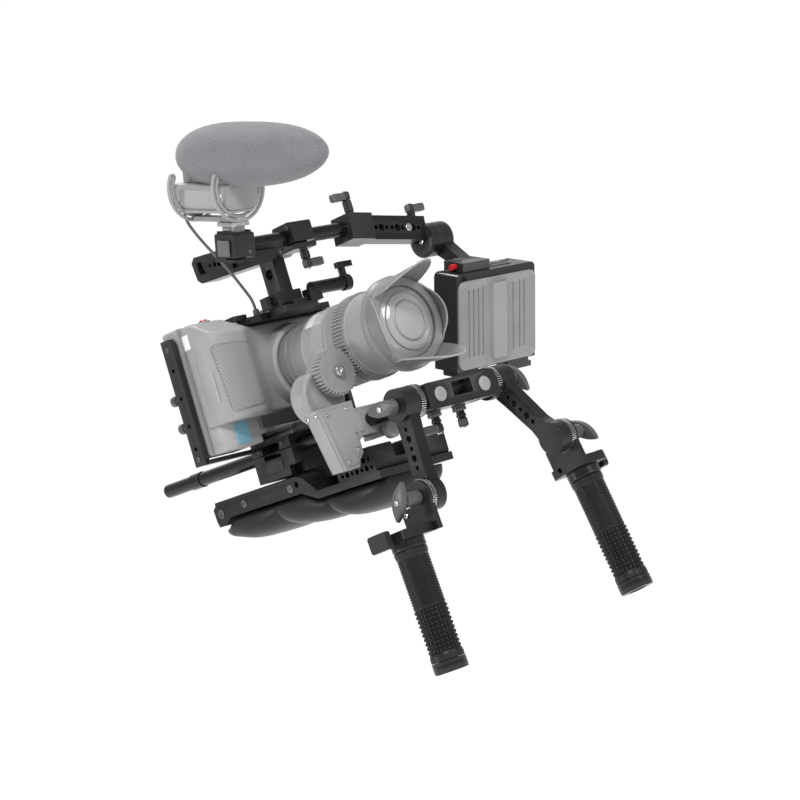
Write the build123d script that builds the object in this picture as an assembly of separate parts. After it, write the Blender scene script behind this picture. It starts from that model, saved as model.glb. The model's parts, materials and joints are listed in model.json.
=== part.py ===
from build123d import *
from math import cos, degrees, pi, radians, sin, tan
import os

os.makedirs("parts", exist_ok=True)

# Shoulder-mounted cinema camera rig.  Millimetres, +Z up, -Y is the way the lens looks,
# +X is the operator's left.  Everything is laid out about the front ends of the two
# 15 mm rods (y = 0, z = 0 on their centre plane) and moved by ORIGIN when it is saved,
# so that the part's own origin is the point of the pad that rests on the shoulder.

ROD_R = 7.5
ROD_BORE_R = 7.55
ROD_SOCKET_R = 5.1          # M12 thread in the rods' front ends
ROD_HALF_SPACING = 30.0
ROD_LENGTH = 390.0
ROD_LEFT_LENGTH = 330.0
EXTENSION_END = 456.0

REST_Y = 250.0              # middle of the shoulder pad, behind the rods' front ends
REST_DROP = 78.0            # underside of the pad, below the rods' centre plane
ORIGIN = Pos(0, -REST_Y, REST_DROP)

GAP = 0.4                   # clearance between pieces that move past each other
PIVOT_R = 4.0               # clamping bolts of the rosette joints
PIVOT_BORE_R = 4.35
ROSETTE_R = 16.0
TRIPOD_THREAD_R = 4.0       # 3/8 inch thread

LENS_Z = 80.0
LENS_HOOD_TIP = -6.0
LENS_HOOD_REAR = 61.0
HOOD_REAR_R = 47.6
HOOD_FRONT_R = 48.8
HOOD_TURN = 7.0             # the long petals stand this far off the vertical, degrees
GEAR_MODULE = 1.2
RING_TEETH = 72
PINION_TEETH = 38
GEAR_LINE = 205.0           # direction from the lens axis to the motor gear, degrees

CAMERA_FRONT_Y = 208.0
CAMERA_REAR_Y = 286.0
CAMERA_RIGHT_X = -110.0
CAMERA_LEFT_X = 48.0
CAMERA_BOTTOM_Z = 20.4
GRIP_SIDE_BOTTOM_Z = 12.5
OVERHANG_Z = 38.5           # the front stands proud of the body's foot above this
CAMERA_TOP_Z = 130.0

CLAMP_AXIS_Y = 17.0         # rosette axis of the front rod clamp
CLAMP_FACE_X = 52.0
ARM_LENGTH = 88.0
ARM_LEFT_SWING = -38.0      # rest angles about X, from hanging straight down
ARM_RIGHT_SWING = 0.0
GRIP_X = 96.0
GRIP_SETBACK = 16.0
GRIP_RIGHT_TILT = -4.3
GRIP_LEFT_TILT = -11.3
GRIP_R = 16.5
UPPER_WING_TURN = {"right": 90.0, "left": 0.0}      # how the wing levers happen to stand
LOWER_WING_TURN = {"right": 35.0, "left": -44.0}

CROSS_Y = 158.0             # 15 mm rod across the top
CROSS_Z = 200.0
MIC_X = -90.0
MIC_PITCH = 18.0
ARM_BAR_TILT = 7.5          # the arm bar droops towards the monitor, degrees about Y

MONITOR_X0 = 140.0
MONITOR_X1 = 249.0
MONITOR_FOOT_Y = 140.0      # lower back edge of the monitor
MONITOR_FOOT_Z = 34.0
MONITOR_TILT = 22.6
HUB_Z = 173.0

saved = {}


def save(name, solid):
    solid = ORIGIN * solid
    solid.label = name
    saved[name] = solid
    export_step(solid, "parts/" + name + ".step")


def block(x0, x1, y0, y1, z0, z1):
    return Pos((x0 + x1) / 2, (y0 + y1) / 2, (z0 + z1) / 2) * Box(x1 - x0, y1 - y0, z1 - z0)


def round_block(x0, x1, y0, y1, z0, z1, radius, axis):
    body = block(x0, x1, y0, y1, z0, z1)
    return fillet(body.edges().filter_by(axis), radius)


def bar_x(x0, x1, y, z, radius):
    return Pos((x0 + x1) / 2, y, z) * Rot(0, 90, 0) * Cylinder(radius, x1 - x0)


def bar_y(y0, y1, x, z, radius):
    return Pos(x, (y0 + y1) / 2, z) * Rot(90, 0, 0) * Cylinder(radius, y1 - y0)


def bar_z(z0, z1, x, y, radius):
    return Pos(x, y, (z0 + z1) / 2) * Cylinder(radius, z1 - z0)


def sheet_x(x0, x1, points):
    """A plate whose outline is given as (y, z) points."""
    outline = Plane.YZ.offset(x0) * Polygon(*points, align=None)
    return extrude(outline, amount=x1 - x0, dir=(1, 0, 0))


def sheet_y(y0, y1, points):
    """A plate whose outline is given as (x, z) points."""
    outline = Plane.XZ.offset(-y0) * Polygon(*points, align=None)
    return extrude(outline, amount=y1 - y0, dir=(0, 1, 0))


def sheet_z(z0, z1, points):
    """A plate whose outline is given as (x, y) points."""
    outline = Plane.XY.offset(z0) * Polygon(*points, align=None)
    return extrude(outline, amount=z1 - z0, dir=(0, 0, 1))


def tube_y(y0, y1, x, z, outer, inner):
    return bar_y(y0, y1, x, z, outer) - bar_y(y0 - 1, y1 + 1, x, z, inner)


def on_side(side, solid):
    """Pieces of the handgrips are drawn for the operator's left; the right is a mirror image."""
    return solid if side > 0 else mirror(solid, about=Plane.YZ)


# ---------------------------------------------------------------- rods and baseplate

def make_rods():
    right = bar_y(0, ROD_LENGTH, -ROD_HALF_SPACING, 0, ROD_R)
    left = bar_y(0, ROD_LEFT_LENGTH, ROD_HALF_SPACING, 0, ROD_R)
    for x in (-ROD_HALF_SPACING, ROD_HALF_SPACING):
        socket = bar_y(-1, 12, x, 0, ROD_SOCKET_R)
        right -= socket
        left -= socket
    save("rod_right", right)
    save("rod_left", left)
    collar = bar_y(ROD_LENGTH, ROD_LENGTH + 18, -ROD_HALF_SPACING, 0, 8.6)
    tail = bar_y(ROD_LENGTH + 18, EXTENSION_END, -ROD_HALF_SPACING, 0, ROD_R)
    save("rod_extension", collar + tail)


def make_base_clamp():
    body = block(-46, 46, 215, 280, -27.6, 11)
    for x in (-ROD_HALF_SPACING, ROD_HALF_SPACING):
        body -= bar_y(200, 300, x, 0, ROD_BORE_R)
    for side in (-1, 1):
        window = block(side * 34 - 13, side * 34 + 13, 234, 262, -6, 9)
        slit = block(side * 42 - 6, side * 42 + 6, 200, 300, -1, 1)
        body -= window
        body -= slit
        foot = block(side * 40.5 - 6.5, side * 40.5 + 6.5, 210, 290, -28, -18)
        body -= foot & block(-60, 60, 210, 226, -28, -18)
    body -= block(-18, 18, 210, 290, -16, 2)
    save("base_clamp_block", body)


def make_camera_plate():
    plate = round_block(-60, 44, 186, 262, 11, 20, 5, Axis.Z)
    plate += block(-40, 40, 262, 286, 11, 20)
    plate -= block(-70, -54, 180, 290, 14, 17)
    plate -= block(38, 50, 180, 290, 14, 17)
    for y in (200, 272):
        plate -= bar_z(5, 25, 26, y, 2.2)
    save("camera_plate", plate)


def dovetail_outline(grow):
    half_top, half_foot = 18 + grow, 21 + grow
    return [(-half_top, -28), (half_top, -28), (half_top, -32), (half_foot, -36),
            (half_foot, -41.5 - grow), (-half_foot, -41.5 - grow), (-half_foot, -36), (-half_top, -32)]


def make_dovetail_bar():
    bar = sheet_y(116, 400, dovetail_outline(0))
    for y in (128, 142, 366):
        bar -= bar_z(-45, -20, 0, y, 2.6)
    bar -= bar_z(-45, -20, 0, 386, TRIPOD_THREAD_R)
    save("dovetail_bar", bar)


def make_quick_lever():
    arm = sheet_z(23, 35, [(-12, 190), (-40, 189), (-88, 197), (-88, 203), (-40, 204), (-12, 204)])
    pivot = bar_z(20.4, 35, -20, 197, 6.4)
    save("quick_lever", arm + pivot)


# ---------------------------------------------------------------- shoulder plate and pad

def make_shoulder_plate():
    outline = [(362, -50), (363, -37), (355, -31), (217, -31), (207, -35), (190, -51), (92, -51),
               (92, -59), (192, -59), (215, -49), (338, -49), (350, -56), (360, -56)]
    plate = sheet_x(-50, 50, outline)
    cheese = round_block(-50, 50, 95, 154, -51.2, -26, 3, Axis.X)
    cheese -= sheet_x(-51, 51, [(140, -25), (156, -25), (156, -40)])
    plate += cheese
    slot_half = 21 + GAP
    plate -= block(-slot_half, slot_half, 80, 370, -41.9, -20)
    for lip_y0, lip_y1 in ((300, 345), (100, 138)):
        for side in (-1, 1):
            lip = sheet_y(lip_y0, lip_y1, [(side * 23, -27), (side * (18 + GAP), -27),
                                           (side * (18 + GAP), -32 - GAP), (side * 23, -37.5)])
            plate += lip & block(-50, 50, 80, 370, -42, -31 if lip_y0 > 200 else -26)
    for column in range(7):
        for row in range(2):
            y = 101 + column * 7.6 + row * 2
            z = -46 + row * 8.5
            radius = 2.9 if column % 2 else 2.1
            if row == 0 or column < 4:
                plate -= bar_x(-52, -42, y, z, radius)
                plate -= bar_x(42, 52, y, z, radius)
    for side in (-1, 1):
        plate -= bar_x(side * 46 - 5, side * 46 + 5, 219, -39, 3.2)
        plate -= bar_x(side * 49 - 2, side * 49 + 2, 351, -43, 5)
    save("shoulder_plate", plate)


def make_shoulder_pad():
    outline = [(100, -59.6), (192.4, -59.6), (215.6, -49.6), (337.6, -49.6), (350, -56.8), (362, -60),
               (355, -70), (332, -79), (290, -81), (250, -78), (215, -81), (170, -87), (130, -88),
               (106, -79)]
    save("shoulder_pad", sheet_x(-49, 49, outline))


# ---------------------------------------------------------------- camera and cage

def make_camera():
    front = sheet_z(OVERHANG_Z, CAMERA_TOP_Z,
                    [(-110, 262), (-110, 228), (-104, 214), (-92, 208), (-66, 208), (-56, 216),
                     (-44, 222), (44, 222), (48, 228), (48, 262)])
    front += sheet_z(GRIP_SIDE_BOTTOM_Z, OVERHANG_Z,
                     [(-107, 262), (-107, 240), (-98, 231), (42, 231), (47, 237), (47, 262)])
    front += sheet_y(232, 262, [(-110, 100), (-110, 140), (-104, 147), (-60, 143), (-56, 130), (-56, 100)])
    front -= sheet_x(-112, 50, [(200, 118), (200, 160), (238, 160)])
    front += bar_y(CAMERA_FRONT_Y, 224, 0, LENS_Z, 42)
    front -= bar_y(CAMERA_FRONT_Y - 1, 246, 0, LENS_Z, 24)
    front -= block(-98, -30, 240, 258, 30, 120)
    front -= bar_z(128, 150, -84, 247, 5.4)
    front -= block(-62, 60, 200, 300, 0, CAMERA_BOTTOM_Z)
    save("camera_front_shell", front)

    rear = round_block(-110, 48, 262, CAMERA_REAR_Y, GRIP_SIDE_BOTTOM_Z, 146, 4, Axis.Y)
    rear -= block(-62, 60, 250, 300, 0, CAMERA_BOTTOM_Z)
    rear -= block(-56, 60, 250, 300, CAMERA_TOP_Z, 150)
    rear -= block(-84, -16, 270, 300, 34, 104)
    save("camera_rear_shell", rear)

    battery = round_block(-83.5, -16.5, 270.5, 312, 34.5, 103.5, 4, Axis.Y)
    save("camera_battery", battery)

    save("camera_sensor", block(-19, 19, 240, 245.5, LENS_Z - 13, LENS_Z + 13))
    save("record_button", bar_z(132.2, 150, -84, 247, 5.0))


def make_cage():
    side = sheet_x(-117.5, -110.4, [(265, 12), (270, 6), (282, 6), (282, 138), (270, 138), (265, 132)])
    for z in (24, 48, 77, 106):
        side -= bar_x(-120, -108, 274, z, 2.2)
    side += block(-112, -46, 264, 280, 6, 10)
    save("cage_side_plate", side)

    top = sheet_z(130.4, 137, [(-52, 214), (-44, 206), (-34, 206), (-34, 176), (10, 176), (10, 206),
                               (50, 206), (54, 212), (54, 284), (-52, 284)])
    for row in range(5):
        top -= bar_z(125, 140, 22 + 6 * (row % 2), 218 + 14 * row, 3.2)
    for row in range(4):
        top -= bar_z(125, 140, -42, 235 + 13 * row, 2.4)
    rail = sheet_y(176, 250, [(-21, 137), (-23, 141), (-3, 141), (-5, 137)])
    save("cage_top_plate", top + rail)

    left = sheet_x(48.5, 54, [(216, 16), (222, 8), (280, 8), (284, 14), (284, 130.2), (216, 130.2)])
    left -= block(40, 60, 232, 268, 50, 100)
    for row in range(5):
        left -= bar_x(40, 60, 224, 30 + 22 * row, 2.6)
        left -= bar_x(40, 60, 276, 30 + 22 * row, 2.6)
    save("cage_left_plate", left)


# ---------------------------------------------------------------- lens

def gear_outline(teeth, radius, centre_x, centre_z, first_angle):
    """Trapezoid teeth, thinned for running clearance; a tooth is centred on first_angle."""
    tip, root = radius + 0.95, radius - 1.4
    tip_half, root_half = 0.42, 0.98
    points = []
    for tooth in range(teeth):
        middle = radians(first_angle + 360 * tooth / teeth)
        for reach, half, sign in ((root, root_half, -1), (tip, tip_half, -1),
                                  (tip, tip_half, 1), (root, root_half, 1)):
            angle = middle + sign * half / reach
            points.append((centre_x + reach * cos(angle), centre_z + reach * sin(angle)))
    return points


def make_lens():
    ring_r = GEAR_MODULE * RING_TEETH / 2
    barrel = bar_y(46, CAMERA_FRONT_Y - 0.4, 0, LENS_Z, 34)
    barrel += bar_y(166, 196, 0, LENS_Z, 38)
    barrel += bar_y(196, CAMERA_FRONT_Y - 0.4, 0, LENS_Z, 35.5)
    barrel += bar_y(46, 61, 0, LENS_Z, 45)
    barrel -= bar_y(40, 52, 0, LENS_Z, 36)
    barrel -= bar_y(50, 215, 0, LENS_Z, 22)
    save("lens_barrel", barrel)

    zoom = tube_y(122, 165.5, 0, LENS_Z, 41, 34 + GAP)
    save("zoom_ring", zoom)

    focus = tube_y(62, 121.4, 0, LENS_Z, 41.2, 34 + GAP)
    teeth = sheet_y(97, 112, gear_outline(RING_TEETH, ring_r, 0, LENS_Z, GEAR_LINE))
    focus += teeth - bar_y(90, 120, 0, LENS_Z, 34 + GAP)
    save("focus_ring", focus)

    length = LENS_HOOD_REAR - LENS_HOOD_TIP
    middle = Pos(0, (LENS_HOOD_REAR + LENS_HOOD_TIP) / 2, LENS_Z) * Rot(90, 0, 0)
    flare = HOOD_FRONT_R - HOOD_REAR_R
    hood = middle * Cone(HOOD_REAR_R, HOOD_FRONT_R, length)
    hood -= middle * Cone(HOOD_REAR_R - 2.5 - flare * 0.02, HOOD_FRONT_R - 2.5 + flare * 0.02, length * 1.04)
    for side in (-1, 1):
        cut = block(side * 45 - 20, side * 45 + 20, LENS_HOOD_TIP - 4, 37, -25, 25)
        for edge in (-1, 1):
            cut += Pos(side * 45, 37, edge * 22) * Rot(0, 90, 0) * Cylinder(11, 40)
            cut += block(side * 45 - 20, side * 45 + 20, LENS_HOOD_TIP - 4, 37, edge * 22 - 11, edge * 22 + 11)
        hood -= Pos(0, 0, LENS_Z) * Rot(0, -HOOD_TURN, 0) * cut
    save("lens_hood", hood)

    dome = Pos(0, 46 + 60, LENS_Z) * Sphere(64)
    glass = bar_y(40, 51.6, 0, LENS_Z, 35.6) & dome
    save("lens_glass", glass)


# ---------------------------------------------------------------- focus motor

def make_motor():
    reach = GEAR_MODULE * (RING_TEETH + PINION_TEETH) / 2
    gear_x = reach * cos(radians(GEAR_LINE))
    gear_z = LENS_Z + reach * sin(radians(GEAR_LINE))
    pitch_r = GEAR_MODULE * PINION_TEETH / 2
    half_tooth = 180 / PINION_TEETH
    gear = sheet_y(98, 109, gear_outline(PINION_TEETH, pitch_r, gear_x, gear_z, GEAR_LINE + 180 + half_tooth))
    gear += bar_y(95.5, 98, gear_x, gear_z, 4.2)
    gear += bar_y(109, 130, gear_x, gear_z, 4)
    save("motor_gear", gear)

    body = bar_y(114, 132, -73, 33, 26) + bar_y(112, 114, -73, 33, 23.5)
    body += bar_y(112, 132, gear_x, gear_z, 14)
    body += sheet_y(102, 124, [(-95, 20), (-50, 22), (-50, -16), (-53.5, -18), (-53.5, -30),
                               (-60, -36), (-63, -43), (-81, -43)])
    body -= bar_y(111.5, 131, gear_x, gear_z, PIVOT_BORE_R)

    clamp = round_block(-52, -14, 104, 130, -14, 14, 4, Axis.Y)
    clamp -= bar_y(100, 150, -ROD_HALF_SPACING, 0, ROD_BORE_R)
    clamp -= block(-31, 0, 100, 150, -1, 1)
    clamp += block(-24, -14, 104, 130, -19, -13.5)
    save("motor_body", body + clamp)
    knob = bar_y(90, 100, -16, -15, 9) + bar_y(100, 103.6, -16, -15, 5)
    save("motor_knob", knob)
    return gear_x, gear_z


# ---------------------------------------------------------------- top handle and cross rod

def make_handle():
    handle = sheet_x(-24, 0, [(172, 190), (172, 211), (186, 212), (309, 224), (315, 219), (313, 200),
                              (307, 195), (200, 187), (186, 186)])
    handle -= sheet_x(-30, 6, [(296, 203), (306, 205), (307, 217), (300, 217)])
    for column, radius in enumerate((2.6, 3.6, 2.6, 2.0)):
        handle -= bar_x(-30, 6, 262 + 8 * column, 206.5 + 0.8 * column, radius)
    handle -= block(-30, -20, 190, 250, 195, 203)
    handle -= block(-4, 6, 190, 250, 195, 203)
    clamp = round_block(-26, 2, 144, 173, 186, 214, 3, Axis.X)
    clamp -= bar_x(-40, 20, CROSS_Y, CROSS_Z, ROD_BORE_R)
    clamp -= block(-30, 6, 140, 157, 191, 193)
    save("top_handle", handle + clamp)

    post = block(-22, -6, 190, 211, 153, 190)
    post -= bar_x(-30, 0, 200.5, 174, 5.5)
    post += block(-29, 2, 188, 213, 141.4, 153) - block(-23.4, -2.6, 180, 220, 130, 141.4)
    for side in (-1, 1):
        jaw = sheet_y(188, 213, [(-13 + side * 16, 136.5), (-13 + side * 16, 142),
                                 (-13 + side * 10.6, 142), (-13 + side * 8.8, 137.6)])
        post += jaw - block(-60, 60, 180, 220, 120, 137.4)
    post += bar_x(-36, -29, 200.5, 147, 4)
    post += block(-40, -34, 196, 205, 138.5, 151)
    save("handle_post", post - handle)

    lever = bar_z(166, 186 - GAP, -12, 150, 5) + round_block(-16, 8, 146, 154, 166, 175, 3, Axis.Y)
    save("handle_lever", lever)

    rod = bar_x(-104, 66, CROSS_Y, CROSS_Z, ROD_R) - bar_x(-110, 80, CROSS_Y, CROSS_Z, 5.6)
    save("cross_rod", rod)

    side = bar_x(14, 58, 186, 150, 7) + block(6, 22, 180, 192, 137.2, 150) + bar_x(58, 66, 186, 150, 8.5)
    side += bar_z(150, 172, 62, 186, 4) + block(56, 76, 183, 189, 166, 172)
    save("side_arm", side)


def mic_place():
    """The shoe clamp and everything on it are turned nose-down about the cross rod."""
    return Pos(MIC_X, CROSS_Y, CROSS_Z) * Rot(MIC_PITCH, 0, 0)


def make_microphone():
    place = mic_place()
    clamp = round_block(-13, 13, -15, 15, -14, 14, 3, Axis.X) - bar_x(-20, 20, 0, 0, ROD_BORE_R)
    clamp -= block(-20, 20, -20, 0, -11, -9.5)
    clamp += block(-11, 11, -13, 13, 13.5, 16.5) - block(-8, 8, -20, 20, 15, 20)
    save("shoe_clamp", place * clamp)

    mount = block(-7.6, 7.6, -9, 9, 15.1, 21) + block(-10, 10, -14, 14, 21, 25)
    mount += block(-7, 7, -14, 58, 25, 30)
    for y in (-12, 56):
        lyre = bar_y(y - 2, y + 2, 0, 58, 33) - bar_y(y - 3, y + 3, 0, 58, 28.5)
        lyre -= block(-50, 50, y - 3, y + 3, 66, 100)
        for side in (-1, 1):
            lyre += block(side * 24.5 - 4.5, side * 24.5 + 4.5, y - 2, y + 2, 47, 56)
        mount += lyre
    save("mic_mount", place * mount)

    body = round_block(-20, 20, -18, 66, 38, 64, 7, Axis.Y)
    body += bar_y(-110, 56, 0, 90, 11)
    body += block(-10, 10, -10, 60, 60, 84)
    save("mic_body", place * body)

    cover = Pos(0, -32, 90) * Rot(90, 0, 0) * Cone(33, 27, 196)
    cover = fillet(cover.edges().filter_by(GeomType.CIRCLE), 24)
    cover -= bar_y(-110.6, 56.6, 0, 90, 11.6)
    cover -= block(-20.5, 20.5, -18.5, 80, 30, 64.5)
    cover -= block(-10.5, 10.5, -10.5, 60.5, 60, 90)
    save("mic_windshield", place * cover)


# ---------------------------------------------------------------- microphone cable

CABLE_R = 1.5
PLUG_TOP_Z = 143.5
CABLE_HANG = [(-100, 208.5, 246.8), (-94, 211, 236), (-84, 212.5, 221), (-71, 213, 203),
              (-58.5, 213.4, 184.5), (-48, 214, 166), (-41, 214, 153), (-41, 214, PLUG_TOP_Z)]


def make_cable():
    """The lead leaves the underside of the microphone at its rear and drops to the cage's top."""
    start = (mic_place() * Pos(-10, 62.5, 38)).position
    route = [(start.X, start.Y, start.Z)] + CABLE_HANG
    corners = []
    for before, point, after in zip(route, route[1:], route[2:]):
        arrive = Vector(*point) - Vector(*before)
        leave = Vector(*after) - Vector(*point)
        turn = radians(arrive.get_angle(leave))
        corners.append(0.45 * min(arrive.length, leave.length) / tan(turn / 2))
    path = FilletPolyline(*route, radius=corners)
    first = Vector(*route[1]) - Vector(*route[0])
    section = Plane(origin=route[0], z_dir=first) * Circle(CABLE_R)
    tube = sweep(section, path=path)
    print("cable radii", [round(r, 1) for r in corners], "length", round(path.length, 1))
    print("cable volume ratio", round(tube.volume / (pi * CABLE_R ** 2 * path.length), 4))
    print("cable route (metres, part frame):")
    for x, y, z in route:
        print("   ", (round(x / 1000, 5), round((y - REST_Y) / 1000, 5), round((z + REST_DROP) / 1000, 5)))
    save("mic_cable", tube)

    plug_x, plug_y, plug_z = route[-1]
    save("cable_plug", bar_z(137, plug_z, plug_x, plug_y, 3.2))


# ---------------------------------------------------------------- monitor arm and monitor

def make_monitor_arm():
    tilt = Pos(54, CROSS_Y, CROSS_Z) * Rot(0, ARM_BAR_TILT, 0)
    head = block(-1, 30, -15, 15, -14, 14)
    bar = tilt * (head + block(29, 108, -9, 9, -13, 13))
    bar -= bar_x(40, 78, CROSS_Y, CROSS_Z, ROD_BORE_R)
    for hole in range(9):
        radius = 2.4 + 1.4 * (hole % 3 == 1)
        bar -= tilt * Pos(38 + 7.4 * hole, 0, 0) * Rot(90, 0, 0) * Cylinder(radius, 40)
    bar += bar_x(158, 170, CROSS_Y, HUB_Z + 1, 18)
    bar -= bar_x(150, 190, CROSS_Y, HUB_Z + 1, PIVOT_BORE_R)
    save("arm_bar", bar)

    lever = bar_z(214, 238, 70, CROSS_Y, 5) + block(50, 75, CROSS_Y - 4, CROSS_Y + 4, 229, 238)
    lever -= tilt * block(-5, 40, -20, 20, -20, 14 + GAP)
    save("arm_bar_lever", lever)

    hub_lever = bar_z(HUB_Z + 28, HUB_Z + 42, 154, CROSS_Y, 4.5)
    hub_lever += block(150, 174, CROSS_Y - 4, CROSS_Y + 4, HUB_Z + 34, HUB_Z + 42)
    save("hub_lever", hub_lever)


def monitor_place():
    return Pos(0, MONITOR_FOOT_Y, MONITOR_FOOT_Z) * Rot(MONITOR_TILT, 0, 0)


def make_monitor():
    hub_y, hub_z = CROSS_Y, HUB_Z + 1
    mount = bar_x(170 + GAP, 188, hub_y, hub_z, 18) + bar_x(188, 190, hub_y, hub_z, 13)
    mount += bar_x(160, 171, hub_y, hub_z, PIVOT_R)
    neck = sheet_x(171, 187, [(hub_y + 12, hub_z - 4), (hub_y - 12, hub_z - 4), (118, 136), (118, 128),
                              (136, 138)])
    place = monitor_place()
    mount += neck - place * block(150, 200, -50, 50, 0, 97.2)
    mount += place * block(150, 190, 2, 30, 97.2, 107)
    mount -= place * bar_x(149, 158, 14, 102, 3.5 + GAP)
    save("monitor_mount", mount)
    save("red_lock_button", place * bar_x(144, 154, 14, 102, 3.5))

    cage = block(MONITOR_X0 - 5, MONITOR_X1 + 5, -3, 30, -6, 97)
    cage -= block(MONITOR_X0 - 0.2, MONITOR_X1 + 0.2, -10, 40, -0.2, 88.2)
    cage -= block(MONITOR_X0 + 14, MONITOR_X1 - 4, 8, 40, 91, 94)
    for hole in range(6):
        cage -= Pos(MONITOR_X0 + 14 + 16 * hole, 24, 95) * Cylinder(3.2, 12)
    cage += block(MONITOR_X1 - 30, MONITOR_X1 + 2, 4, 24, -14, -5.9)
    cage += bar_z(-20, -13.9, MONITOR_X1 - 12, 14, 5) + block(MONITOR_X1 - 16, MONITOR_X1 + 12, 9, 19, -20, -14)
    cage = fillet(cage.edges().filter_by(Axis.Y).group_by(Axis.Z)[-1], 6)
    save("monitor_cage", place * cage)

    body = round_block(MONITOR_X0, MONITOR_X1, 0, 22, 0, 88, 4, Axis.Y)
    bump = bar_z(3, 85, MONITOR_X0 + 54, 3, 12)
    body += bump & block(MONITOR_X0, MONITOR_X1, -6, 10, 0, 88)
    for groove in (10, 17, 24, 31, 38, 84, 91, 98):
        body -= block(MONITOR_X0 + groove, MONITOR_X0 + groove + 2.4, -1, 2, 8, 80)
    body -= block(MONITOR_X0 + 5, MONITOR_X1 - 5, 20.5, 24, 6, 82)
    save("monitor_body", place * body)


# ---------------------------------------------------------------- front rod clamp

def make_front_clamp():
    body = round_block(-47, 47, 0, 38, -13, 13, 4, Axis.Y)
    for side in (-1, 1):
        body += bar_x(side * 49 - 3, side * 49 + 3, CLAMP_AXIS_Y, 0, ROSETTE_R)
        body -= bar_y(-5, 45, side * ROD_HALF_SPACING, 0, ROD_R + 0.08)
        body -= bar_x(side * 49 - 6, side * 49 + 6, CLAMP_AXIS_Y, 0, PIVOT_BORE_R)
        body -= block(side * 30 - 6, side * 30 + 6, 8, 26, -20, 0)
        body += bar_z(-18, -12.9, side * 17, 30, 6.5)
    body -= block(-13, 13, -5, 45, -5, 9)
    body -= block(-20, 20, 8, 20, 6, 20)
    save("front_clamp", body)
    for side, name, turn in ((-1, "clamp_lever_right", 180), (1, "clamp_lever_left", 45)):
        lever = bar_z(-34, -18 - GAP, 0, 0, 5) + round_block(-5, 20, -4, 4, -34, -25, 3, Axis.Y)
        save(name, Pos(side * 17, 30, 0) * Rot(0, 0, turn) * lever)


# ---------------------------------------------------------------- handgrip arms

def arm_place(side):
    swing = ARM_LEFT_SWING if side > 0 else ARM_RIGHT_SWING
    return Pos(0, CLAMP_AXIS_Y, 0) * Rot(swing, 0, 0)


def grip_place(side):
    swing = radians(ARM_LEFT_SWING if side > 0 else ARM_RIGHT_SWING)
    tilt = GRIP_LEFT_TILT if side > 0 else GRIP_RIGHT_TILT
    y = CLAMP_AXIS_Y + ARM_LENGTH * sin(swing)
    z = -ARM_LENGTH * cos(swing)
    return Pos(0, y, z) * Rot(tilt, 0, 0)


def wing(x0, x1, handle_x, turn):
    lever = bar_x(x0, x1, 0, 0, PIVOT_R) + bar_x(x1, handle_x, 0, 0, 7)
    blade = sheet_x(handle_x - 1, handle_x + 7, [(-5, -16), (0, -20), (5, -16), (7, 0), (5, 16),
                                                 (0, 20), (-5, 16), (-7, 0)])
    return lever + Rot(turn, 0, 0) * blade


def make_arm(side, name):
    arm = bar_x(CLAMP_FACE_X + GAP, 75, 0, 0, ROSETTE_R)
    arm += sheet_x(57, 70, [(-12, 0), (-10, -26), (-9, -66), (-12, -84), (12, -84), (9, -66), (10, -26), (12, 0)])
    arm += bar_x(57, 73, 0, -ARM_LENGTH, ROSETTE_R)
    arm -= bar_x(40, 90, 0, 0, PIVOT_BORE_R)
    arm -= bar_x(64, 90, 0, -ARM_LENGTH, PIVOT_BORE_R)
    for hole in range(5):
        arm -= bar_x(40, 90, 0, -24 - 9.4 * hole, 2.2 + 1.1 * (hole % 2))
    save(name, arm_place(side) * on_side(side, arm))


def make_wings(side, suffix):
    upper = wing(43, 75 + GAP, 88, UPPER_WING_TURN[suffix])
    save("wing_upper_" + suffix, arm_place(side) * on_side(side, upper))
    lower = wing(65.5, 79 + GAP, 100, LOWER_WING_TURN[suffix])
    save("wing_lower_" + suffix, grip_place(side) * on_side(side, lower))


def make_grip(side, suffix):
    place = grip_place(side)
    bracket = bar_x(73 + GAP, 79, 0, 0, ROSETTE_R) + block(73 + GAP, 79, -13, 30, -34, -6)
    bracket += round_block(73 + GAP, 114, -6, 37, -34, -25, 6, Axis.Z)
    bracket -= bar_x(60, 90, 0, 0, PIVOT_BORE_R)
    bracket -= block(84, 120, 34.5, 40, -40, -20)
    bracket -= bar_x(60, 90, 22, -28, 2.6)
    save("grip_bracket_" + suffix, place * on_side(side, bracket))

    top, foot = -34.0, -162.0
    core = bar_z(foot + 2, top, GRIP_X, GRIP_SETBACK, 9)
    core += bar_z(top - 9, top, GRIP_X, GRIP_SETBACK, GRIP_R)
    core += bar_z(foot, foot + 11, GRIP_X, GRIP_SETBACK, GRIP_R)
    core -= bar_z(foot - 1, foot + 3, GRIP_X, GRIP_SETBACK, 10)
    save("grip_core_" + suffix, place * on_side(side, core))

    sleeve = bar_z(foot + 11.1, top - 9.1, GRIP_X, GRIP_SETBACK, GRIP_R - 0.5)
    sleeve -= bar_z(foot, top, GRIP_X, GRIP_SETBACK, 9.1)
    save("grip_sleeve_" + suffix, place * on_side(side, sleeve))

    lever = bar_x(114 + GAP, 120, 16, -29.5, 4.5) + round_block(120, 127, 8, 34, -38, -21, 3, Axis.X)
    save("grip_lever_" + suffix, place * on_side(side, lever))


make_rods()
make_base_clamp()
make_camera_plate()
make_dovetail_bar()
make_quick_lever()
make_shoulder_plate()
make_shoulder_pad()
make_camera()
make_cage()
make_lens()
make_motor()
make_handle()
make_microphone()
make_cable()
make_monitor_arm()
make_monitor()
make_front_clamp()
for side, suffix in ((-1, "right"), (1, "left")):
    make_arm(side, "arm_" + suffix)
    make_wings(side, suffix)
    make_grip(side, suffix)
print(len(saved), "nodes")
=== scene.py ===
import json
from math import atan2, copysign, cos, degrees, exp, log, pi, radians, sin, sqrt

import bmesh
import bpy
from mathutils import Matrix, Vector


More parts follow.
